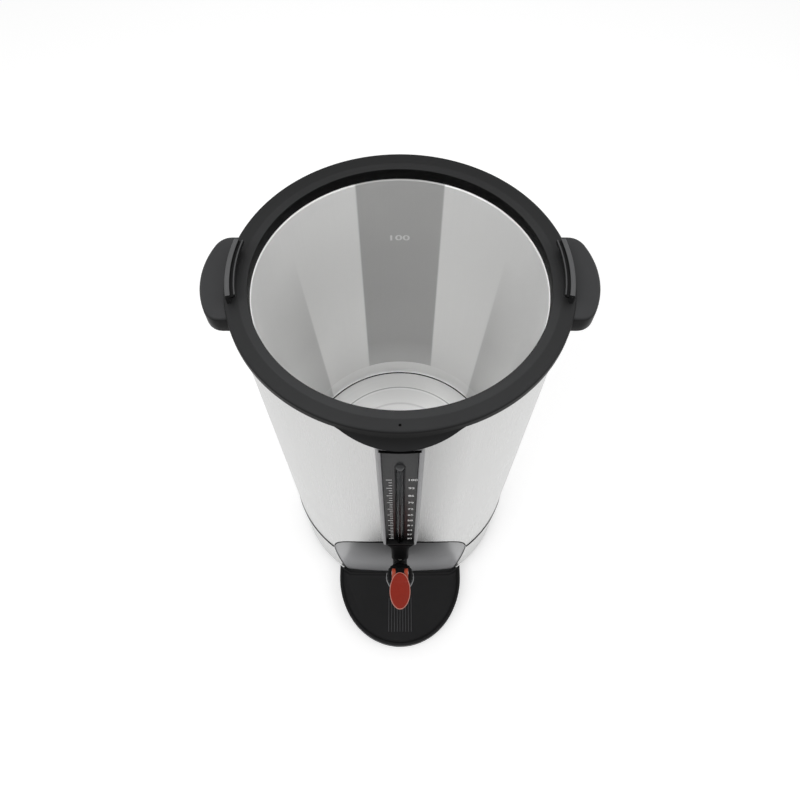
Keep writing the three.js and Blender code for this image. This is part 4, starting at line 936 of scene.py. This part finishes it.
# The cap shares the channel's painted light
make("sight_glass_cap", *lathe(cap_outline, 32, TUBE_SPOT), "gauge_plastic", material="channel_painted_light",
     replaces="sight_tube_cap")

# Numbers and ticks: the marks draw closer together down the gauge
INK_FACE = PLATE_FACE + 0.06
MARK_ROWS, FULL_CUPS, CUPS_STEP = 11, 100, 7
FIRST_MARK, MARK_SPACING, MARK_SHRINK = 0.612, 0.132, 0.0018
DIGIT_WIDTH, DIGIT_HEIGHT, DIGIT_BOLD = 2.5, 4.6, 0.018
NUMBER_SIDE, TICK_SIDE, TICK_LONG, TICK_SHORT, TICK_HALF = 7.6, 7.0, 5.2, 3.0, 0.5


def glyphs(text, width, height):
    """A number as flat points and faces, as large as it is told."""
    curve = bpy.data.curves.new("glyphs", "FONT")
    curve.body = text
    curve.resolution_u = 3
    curve.offset = DIGIT_BOLD
    source = bpy.data.objects.new("glyphs", curve)
    flat = bpy.data.meshes.new_from_object(source)
    xs = [v.co.x for v in flat.vertices]
    ys = [v.co.y for v in flat.vertices]
    wide, high = max(xs) - min(xs), max(ys) - min(ys)
    points = [((x - min(xs)) / wide * width, (y - min(ys)) / high * height) for x, y in zip(xs, ys)]
    faces = [tuple(face.vertices) for face in flat.polygons]
    bpy.data.objects.remove(source)
    bpy.data.curves.remove(curve)
    bpy.data.meshes.remove(flat)
    return points, faces


def row_height(n):
    return RIM_TOP - RIM_RADIUS * (FIRST_MARK + MARK_SPACING * n - MARK_SHRINK * n * n)


marks = []
for n in range(MARK_ROWS):
    label = str(FULL_CUPS - CUPS_STEP * n)
    middle = row_height(n)
    flat, flat_faces = glyphs(label, DIGIT_WIDTH * len(label) + 0.3, DIGIT_HEIGHT)
    marks.append(([(NUMBER_SIDE + a, -INK_FACE, middle - DIGIT_HEIGHT / 2 + b) for a, b in flat], flat_faces))
    ticks = [(TICK_LONG, middle)]
    if n < MARK_ROWS - 1:
        ticks += [(TICK_SHORT, middle + (row_height(n + 1) - middle) * share) for share in (1 / 3, 2 / 3)]
    for length, height in ticks:
        tick = block(-TICK_SIDE - length, -TICK_SIDE, height - TICK_HALF, height + TICK_HALF)
        marks.append(([(a, -INK_FACE, b) for a, b in tick], [(0, 1, 2, 3)]))
make("gauge_markings", *joined(*marks), "scale_plastic", material="white_ink")

# Fill mark stamped in the vessel's rear wall
STAMP_WIDTH, STAMP_HEIGHT, STAMP_LOW, STAMP_PROUD = 21.0, 8.0, 415.0, 0.12
flat, flat_faces = glyphs(str(FULL_CUPS), STAMP_WIDTH, STAMP_HEIGHT)
stamp = [at(QUARTER - (a - STAMP_WIDTH / 2) / VESSEL, VESSEL - STAMP_PROUD, STAMP_LOW + b) for a, b in flat]
make("fill_mark", stamp, flat_faces, "vessel_steel", material="etched_steel")

# Tap
TAP_SPOT = (0.0, -TAP_AXIS)
FLANGE = fascia_ahead(0.0, SHANK + 14.0) + GAP
FLANGE_RADIUS, FLANGE_THICK, SHANK_RADIUS = 9.9, 2.3, 8.5
SHANK_TIP = TAP_AXIS - 6.0
barrel_outline = rounded([
    (6.0, 124.5), (8.5, 124.5, 0.7), (8.5, 146.0, 2.0), (13.0, 152.0, 2.0), (13.0, 184.0),
    (10.5, 184.0), (10.5, 158.0), (6.0, 158.0),
])
shank_outline = rounded([
    (0.0, 116.0), (7.0, 116.0, 0.5), (7.0, 131.2), (11.0, 131.2), (11.0, 134.2), (SHANK_RADIUS, 134.2),
    (SHANK_RADIUS, FLANGE), (FLANGE_RADIUS, FLANGE, 0.4), (FLANGE_RADIUS, FLANGE + FLANGE_THICK, 1.0),
    (SHANK_RADIUS, FLANGE + FLANGE_THICK, 1.0), (SHANK_RADIUS, SHANK_TIP), (0.0, SHANK_TIP),
], closed=False)
socket_outline = rounded([(3.8, 168.0), (7.5, 168.0), (7.5, 180.0, 1.0), (6.3, 180.0, 0.5), (3.8, 174.0)])
make("tap_moulding", *joined(
    lathe(barrel_outline, 48, TAP_SPOT),
    turned_ahead(shank_outline, SHANK),
    lathe(socket_outline, 40, TUBE_SPOT),
), "tap_plastic", replaces="tap_body")

# The bonnet's radius and height, and whether its finger ribs run there
BONNET_OUTLINE = ((13.3, 178.9, 0), (15.3, 178.9, 0), (15.5, 179.4, 1), (15.5, 186.2, 1), (15.0, 187.2, 1),
                  (12.8, 189.6, 0), (12.2, BONNET_TOP, 0), (3.6, BONNET_TOP, 0), (3.3, 189.7, 0),
                  (3.3, 186.0, 0), (13.3, 186.0, 0))
FINGER_RIBS, FINGER_DEPTH = 24, 0.55


def at_tap(angle, radius, height):
    x, y, z = at(angle, radius, height)
    return (x, y - TAP_AXIS, z)


def bonnet_rows():
    dents = [(angle, FINGER_DEPTH * (0.5 - 0.5 * cos(FINGER_RIBS * angle)) ** 2) for angle in turns(240)]
    return [[at_tap(angle, radius - dent * ribbed, height) for angle, dent in dents]
            for radius, height, ribbed in BONNET_OUTLINE]


make("bonnet", *skin(bonnet_rows(), loop=True), "tap_plastic", replaces="tap_bonnet")
RING_INNER, RING_OUTER, RING_LOW, RING_HIGH = 13.3, 16.2, 177.2, 178.6
ring_outline = block(RING_INNER, RING_OUTER, RING_LOW, RING_HIGH, (0.3, 0.6, 0.6, 0.3), 4)
make("ring", *lathe(ring_outline, 96, TAP_SPOT), "ring_metal", material="ring_painted_shade", replaces="bonnet_ring")

# Spring round the stem, with a mesh of its own
SPRING_LOW, SPRING_HIGH, SPRING_RADIUS, SPRING_WIRE = 167.3, 185.0, 5.6, 0.7
SPRING_TURNS, TURN_STEPS = 6, 24
coil_rows = []
coil_steps = TURN_STEPS * SPRING_TURNS
coil_angles = even(0, FULL_TURN * SPRING_TURNS, coil_steps)
for angle, height in zip(coil_angles, even(SPRING_LOW, SPRING_HIGH, coil_steps)):
    section = oval((SPRING_RADIUS, height), (SPRING_WIRE, SPRING_WIRE), 10)
    coil_rows.append([at_tap(angle, *pair) for pair in section])
spring = make("coil_spring", *skin(coil_rows, caps=True), "fastener_steel", replaces="stem_spring")
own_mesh(spring)

# Lever
LEVER_TIP, LEVER_HALF, BLADE_ROOT = 214.0, 11.5, 175.5
BLADE_MIDDLE, BLADE_REACH = (BLADE_ROOT + LEVER_TIP) / 2, (LEVER_TIP - BLADE_ROOT) / 2
BLADE_RISE, BLADE_DROOP, BLADE_THICK = 4.0, 5.0, 4.0
HOOD_LIFT, HOOD_START, HOOD_LENGTH, HOOD_THICK = 4.0, 185.0, 7.0, 1.3

# From the upper face's middle over the edge to the lower face's: share of the outline, and drop
BLADE_PROFILE = ((0.02, -0.7), (0.3, -0.65), (0.55, -0.5), (0.75, -0.25), (0.86, -0.02), (0.92, 0.0),
                 (0.965, -0.2), (0.99, -0.7), (1.0, -1.6), (0.99, -2.8), (0.95, -3.5), (0.88, -3.9),
                 (0.74, -4.0), (0.62, -4.0), (0.5, -4.0), (0.4, -4.0), (0.02, -4.0))
EDGE_INSET, EDGE_SINK, EDGE_RADIUS = 0.3, 0.35, 0.5
HEEL_RADIUS, HEEL_GAP = 6.5, 0.4
PRONG_INNER, PRONG_OUTER, PRONG_ROUND = 4.8, 9.2, 5.0
PRONG_FRONT, PRONG_SHOULDER = 186.0, 181.0


def blade_height(distance):
    share = (distance - TAP_AXIS) / (LEVER_TIP - TAP_AXIS)
    hood = min(1.0, max(0.0, (HOOD_START - distance) / HOOD_LENGTH))
    return PIN_HEIGHT + BLADE_RISE - BLADE_DROOP * share * share + HOOD_LIFT * hood * hood * (3 - 2 * hood)


def on_blade(angle, half, reach, lift):
    """A point on an oval round the blade's middle, above its upper face or down as far as its lower one."""
    distance = BLADE_MIDDLE + reach * sin(angle)
    thick = HOOD_THICK if distance < HOOD_START - HOOD_LENGTH / 2 else BLADE_THICK
    return (half * cos(angle), -distance, blade_height(distance) + max(lift, -thick))


def prong_outline():
    """Side view of one prong: the heel rolls on the bonnet's top as the lever goes down."""
    drop = PIN_HEIGHT - BONNET_TOP - HEEL_GAP
    outline = []
    for turn in even(0, radians(PRESS_ANGLE), 10):
        reach = drop + HEEL_RADIUS * turn
        outline.append((-TAP_AXIS - reach * sin(turn) - HEEL_RADIUS * cos(turn),
                        PIN_HEIGHT - reach * cos(turn) + HEEL_RADIUS * sin(turn)))
    outline += [(-PRONG_FRONT, blade_height(PRONG_FRONT) - sink) for sink in (3.2, 0.8)]
    outline += [(-PRONG_SHOULDER, PIN_HEIGHT + 4.4), (-TAP_AXIS - PRONG_ROUND, PIN_HEIGHT + 4.6)]
    outline += arc((-TAP_AXIS, PIN_HEIGHT), (PRONG_ROUND, PRONG_ROUND), QUARTER, -pi / 4, 12)
    return outline + [(-TAP_AXIS, PIN_HEIGHT - drop)]


# A light bead round the blade's edge: a painted highlight
highlight_outline = oval((-EDGE_INSET, -EDGE_SINK), (EDGE_RADIUS, EDGE_RADIUS), 8)
highlight_rows = [[on_blade(angle, LEVER_HALF + out, BLADE_REACH + out, lift) for out, lift in highlight_outline]
             for angle in turns(96)]
make("lever_highlight_bead", *skin(highlight_rows, loop=True), "lever_plastic", body="lever", material="edge_painted_highlight")
blade_rows = [[on_blade(angle, LEVER_HALF * share, BLADE_REACH * share, drop) for angle in turns(64)]
              for share, drop in BLADE_PROFILE]
make("lever_blade", *skin(blade_rows, caps=True), "lever_plastic", body="lever", replaces="tap_lever")
for side, sign in SIDES:
    low, high = sorted((sign * PRONG_INNER, sign * PRONG_OUTER))
    make(f"lever_prong_{side}", *slab(prong_outline(), across, low, high), "lever_plastic", body="lever",
         bevel=0.7, material="prong_painted_highlight")

# Tray
TRAY_HALF, TRAY_TIP, TRAY_STRAIGHT, TRAY_REAR = 85.0, 227.0, 132.0, 128.3
TRAY_FLOOR, TRAY_ROOF, TRAY_LIP, TRAY_ROUND = 15.3, 13.3, 19.0, 1.1
REAR_RADIUS, REAR_FINE, REAR_COARSE = 145.6, 70.0, [40.0, 0.0]
RIB_COUNT, RIB_SPACING, RIB_SINK = 9, 3.85, 0.1
RIB_ENDS = ((-163.0, 0.0), (-163.6, 0.7), (-164.6, 1.0), (-207.2, 1.0), (-208.2, 0.7), (-208.8, 0.0))
RIB_SECTION = ((-0.7, 0.0), (-0.5, 0.8), (-0.2, 1.0), (0.2, 1.0), (0.5, 0.8), (0.7, 0.0))


def tray_loop(inset, height, rear=None):
    """An outline of the tray, its rear flat or, towards the sides, following the shell."""
    half = TRAY_HALF - inset
    rear = TRAY_REAR + inset if rear is None else rear
    front = arc((0.0, -TRAY_STRAIGHT), (half, TRAY_TIP - inset - TRAY_STRAIGHT), 0.0, -pi, 60)
    places = even(half, REAR_FINE, 8) + REAR_COARSE
    places += [-x for x in reversed(places[:-1])]
    back = [(x, -min(rear, sqrt(REAR_RADIUS ** 2 - x * x) + inset)) for x in places]
    return [(x, y, height) for x, y in front + back[::-1]]


# From under the floor round the rim to the floor's top: inset and height
tray_levels = [(2.0, TRAY_ROOF), (2.0, 5.0), (1.4, 5.0), (0.5, 5.3), (0.0, 6.2), (0.0, 17.2)]
tray_levels += arc((TRAY_ROUND, TRAY_LIP - TRAY_ROUND), (-TRAY_ROUND, TRAY_ROUND), 0.0, QUARTER, 5)
tray_levels += [(2.0, TRAY_LIP), (2.9, 18.8), (3.4, 18.2), (4.6, 16.6), (5.6, 15.7), (7.4, TRAY_FLOOR)]
make("tray", *skin([tray_loop(*level) for level in tray_levels], caps=True), "tray_plastic", body="tray",
     replaces="drip_tray")
ribs = []
for i in range(RIB_COUNT):
    x = (i - RIB_COUNT // 2) * RIB_SPACING
    ribs.append(skin([[(x + aside, y, TRAY_FLOOR - RIB_SINK + lift * share) for aside, share in RIB_SECTION]
                      for y, lift in RIB_ENDS], caps=True))
make("tray_ribs", *joined(*ribs), "tray_plastic", body="tray", material="rib_painted_highlight")

# Base pan: the ring's faces lie a little inside the tongue's, so that no two faces share a plane
PAN_INNER, PAN_STEP = 114.0, 119.1
PAN_LIP, PAN_LIP_TOP, LIP_OPENING, LIP_MIDDLE = 139.4, 26.0, 79.0, 141.0
PAN_LOW, PAN_TOP, PLATE_ROOF = 4.15, LEDGE - 0.15, 9.3
PAN_FOOT, PAN_SIDE = 142.2, 142.8
TONGUE_INSET, TONGUE_REAR = 2.6, 120.0
pan_outline = rounded([
    (PAN_INNER, PLATE_ROOF), (PAN_STEP, PLATE_ROOF), (PAN_STEP, PAN_LOW), (PAN_FOOT, PAN_LOW, 1.5),
    (PAN_SIDE, PAN_TOP, 0.6), (PAN_INNER, PAN_TOP),
])
pan_lip = swept(block(PAN_LIP, SHELL_INSIDE, LEDGE - 1.0, PAN_LIP_TOP), QUARTER,
                pi - asin(LIP_OPENING / LIP_MIDDLE), 140)
tongue_rows = [tray_loop(TONGUE_INSET + inset, height, TONGUE_REAR) for inset, height in
               ((4.0, 4.0), (1.0, 4.0), (0.3, 4.3), (0.0, 5.0), (0.0, LEDGE))]
make("pan", *joined(lathe(pan_outline, BODY_SEGMENTS), pan_lip, skin(tongue_rows, caps=True)), "rim_plastic",
     replaces="base_pan")

FOOT_RADIUS = 131.0
foot_outline = rounded([
    (0.0, 0.6), (3.0, 0.6, 0.3), (3.6, 0.0, 0.3), (9.2, 0.0, 0.9), (10.0, 3.7), (0.0, 3.7),
], closed=False)
foot_spots = {"foot_under_tray": (0.0, -200.0)}
for i, label in enumerate(("rear_right", "rear_left", "front_left", "front_right")):
    foot_spots[f"foot_{label}"] = at(pi / 4 + i * QUARTER, FOOT_RADIUS, 0.0)[:2]
for label, spot in foot_spots.items():
    make(f"{label}_pad", *lathe(foot_outline, 40, spot), "foot_rubber", replaces=label)

# Mains inlet at the rear: half width, half height, distance and corner radius
INLET_LOOPS = (
    (14.0, 11.0, 116.8, 2.0), (14.0, 11.0, SHELL_FACE, 2.0), (22.0, 14.0, SHELL_FACE, 3.0),
    (22.0, 14.0, 145.8, 3.0), (21.6, 13.6, 146.5, 2.8), (20.8, 12.8, 146.8, 2.5), (12.2, 9.2, 146.8, 1.6),
    (11.6, 8.6, 146.4, 1.4), (11.5, 8.5, 145.8, 1.4), (11.5, 8.5, 130.8, 1.4),
)
PIN_PLACES, PIN_HALF_X, PIN_HALF_Z, PIN_ROUND = (-7.0, 0.0, 7.0), 1.0, 2.0, 0.3
PIN_LEVELS = ((1.0, 129.8), (1.0, 139.8), (0.7, 140.8))
inlet_rows = [rounded_box(0.0, distance, INLET, half_x, half_z, radius)
              for half_x, half_z, distance, radius in INLET_LOOPS]
make("inlet_moulding", *skin(inlet_rows, caps=True), "rim_plastic", replaces="power_inlet")
for number, x in enumerate(PIN_PLACES, 1):
    rows = [rounded_box(x, distance, INLET, PIN_HALF_X * share, PIN_HALF_Z * share, PIN_ROUND * share, 3)
            for share, distance in PIN_LEVELS]
    make(f"inlet_pin_{number}", *skin(rows, caps=True), "ring_metal")

# CAD nodes that stay, and materials for those that are replaced
for part in frame["record"]["subparts"]:
    kept = frame["nodes"][part["node"]]
    kept.data.materials.clear()
    kept.data.materials.append(MATERIALS[part["material_slot"]])
    if not kept.hide_render:
        weld = kept.modifiers.new("weld", "WELD")
        weld.merge_threshold = 1e-5
        round_edges(kept, 0.25, 2)

# Floor, lights and world
FLOOR_SIZE, FLOOR_GLOW = 8.0, 0.42
WHITE = (1.0, 1.0, 1.0, 1.0)
LIT_WORLD, SEEN_WORLD = 0.5, 1.0


def pale_ray(tree):
    rays = node(tree, "LightPath")
    seen = calc(tree, "MAXIMUM", rays.outputs["Is Camera Ray"], rays.outputs["Is Glossy Ray"])
    return calc(tree, "MAXIMUM", seen, rays.outputs["Is Transmission Ray"])


floor_mesh = bpy.data.meshes.new("floor")
floor_corners = block(-FLOOR_SIZE, FLOOR_SIZE, -FLOOR_SIZE, FLOOR_SIZE)
floor_mesh.from_pydata([(x, y, 0.0) for x, y in floor_corners], [], [(0, 1, 2, 3)])
floor = new_object("floor", floor_mesh)
floor_tree, floor_shader = new_material(
    "floor", Base_Color=(0.8, 0.8, 0.8, 1.0), Roughness=0.9, Specular_IOR_Level=0.0, Emission_Color=WHITE)
feed(floor_tree, floor_shader, {"Emission Strength": times(floor_tree, pale_ray(floor_tree), FLOOR_GLOW)})
floor_mesh.materials.append(MATERIALS["floor"])

world = bpy.data.worlds.new("studio")
world.use_nodes = True
bpy.context.scene.world = world
world_tree = world.node_tree
world_share = spread(world_tree, pale_ray(world_tree), 0.0, 1.0, LIT_WORLD, SEEN_WORLD)
feed(world_tree, world_tree.nodes["Background"], {"Color": WHITE, "Strength": world_share})


def lamp(name, kind, spot, power):
    light = bpy.data.lights.new(name, kind)
    light.energy = power
    made = new_object(name, light)
    made.location = spot
    return light, made


def softbox(name, spot, aim, size, power):
    light, made = lamp(name, "AREA", spot, power)
    light.shape = "RECTANGLE"
    light.size, light.size_y = size
    made.rotation_euler = (Vector(aim) - Vector(spot)).to_track_quat("-Z", "Y").to_euler()


softbox("key", (-1.2, -1.0, 2.1), (0, 0, 0.25), (1.6, 1.2), 16.0)
softbox("fill", (1.5, -0.6, 1.5), (0, 0, 0.25), (1.4, 1.4), 8.0)
softbox("top", (0.0, 0.7, 2.3), (0, 0, 0.3), (1.4, 1.0), 7.0)

# A narrow lamp straight above the mouth, which reaches the vessel's floor
well_light, well = lamp("well", "SPOT", place(0.0, 0.0, 2000.0), 40.0)
well_light.spot_size = radians(8.4)
well_light.spot_blend = 0.25
well_light.shadow_soft_size = 0.05
well.visible_glossy = False

bpy.context.scene.view_settings.view_transform = "Standard"
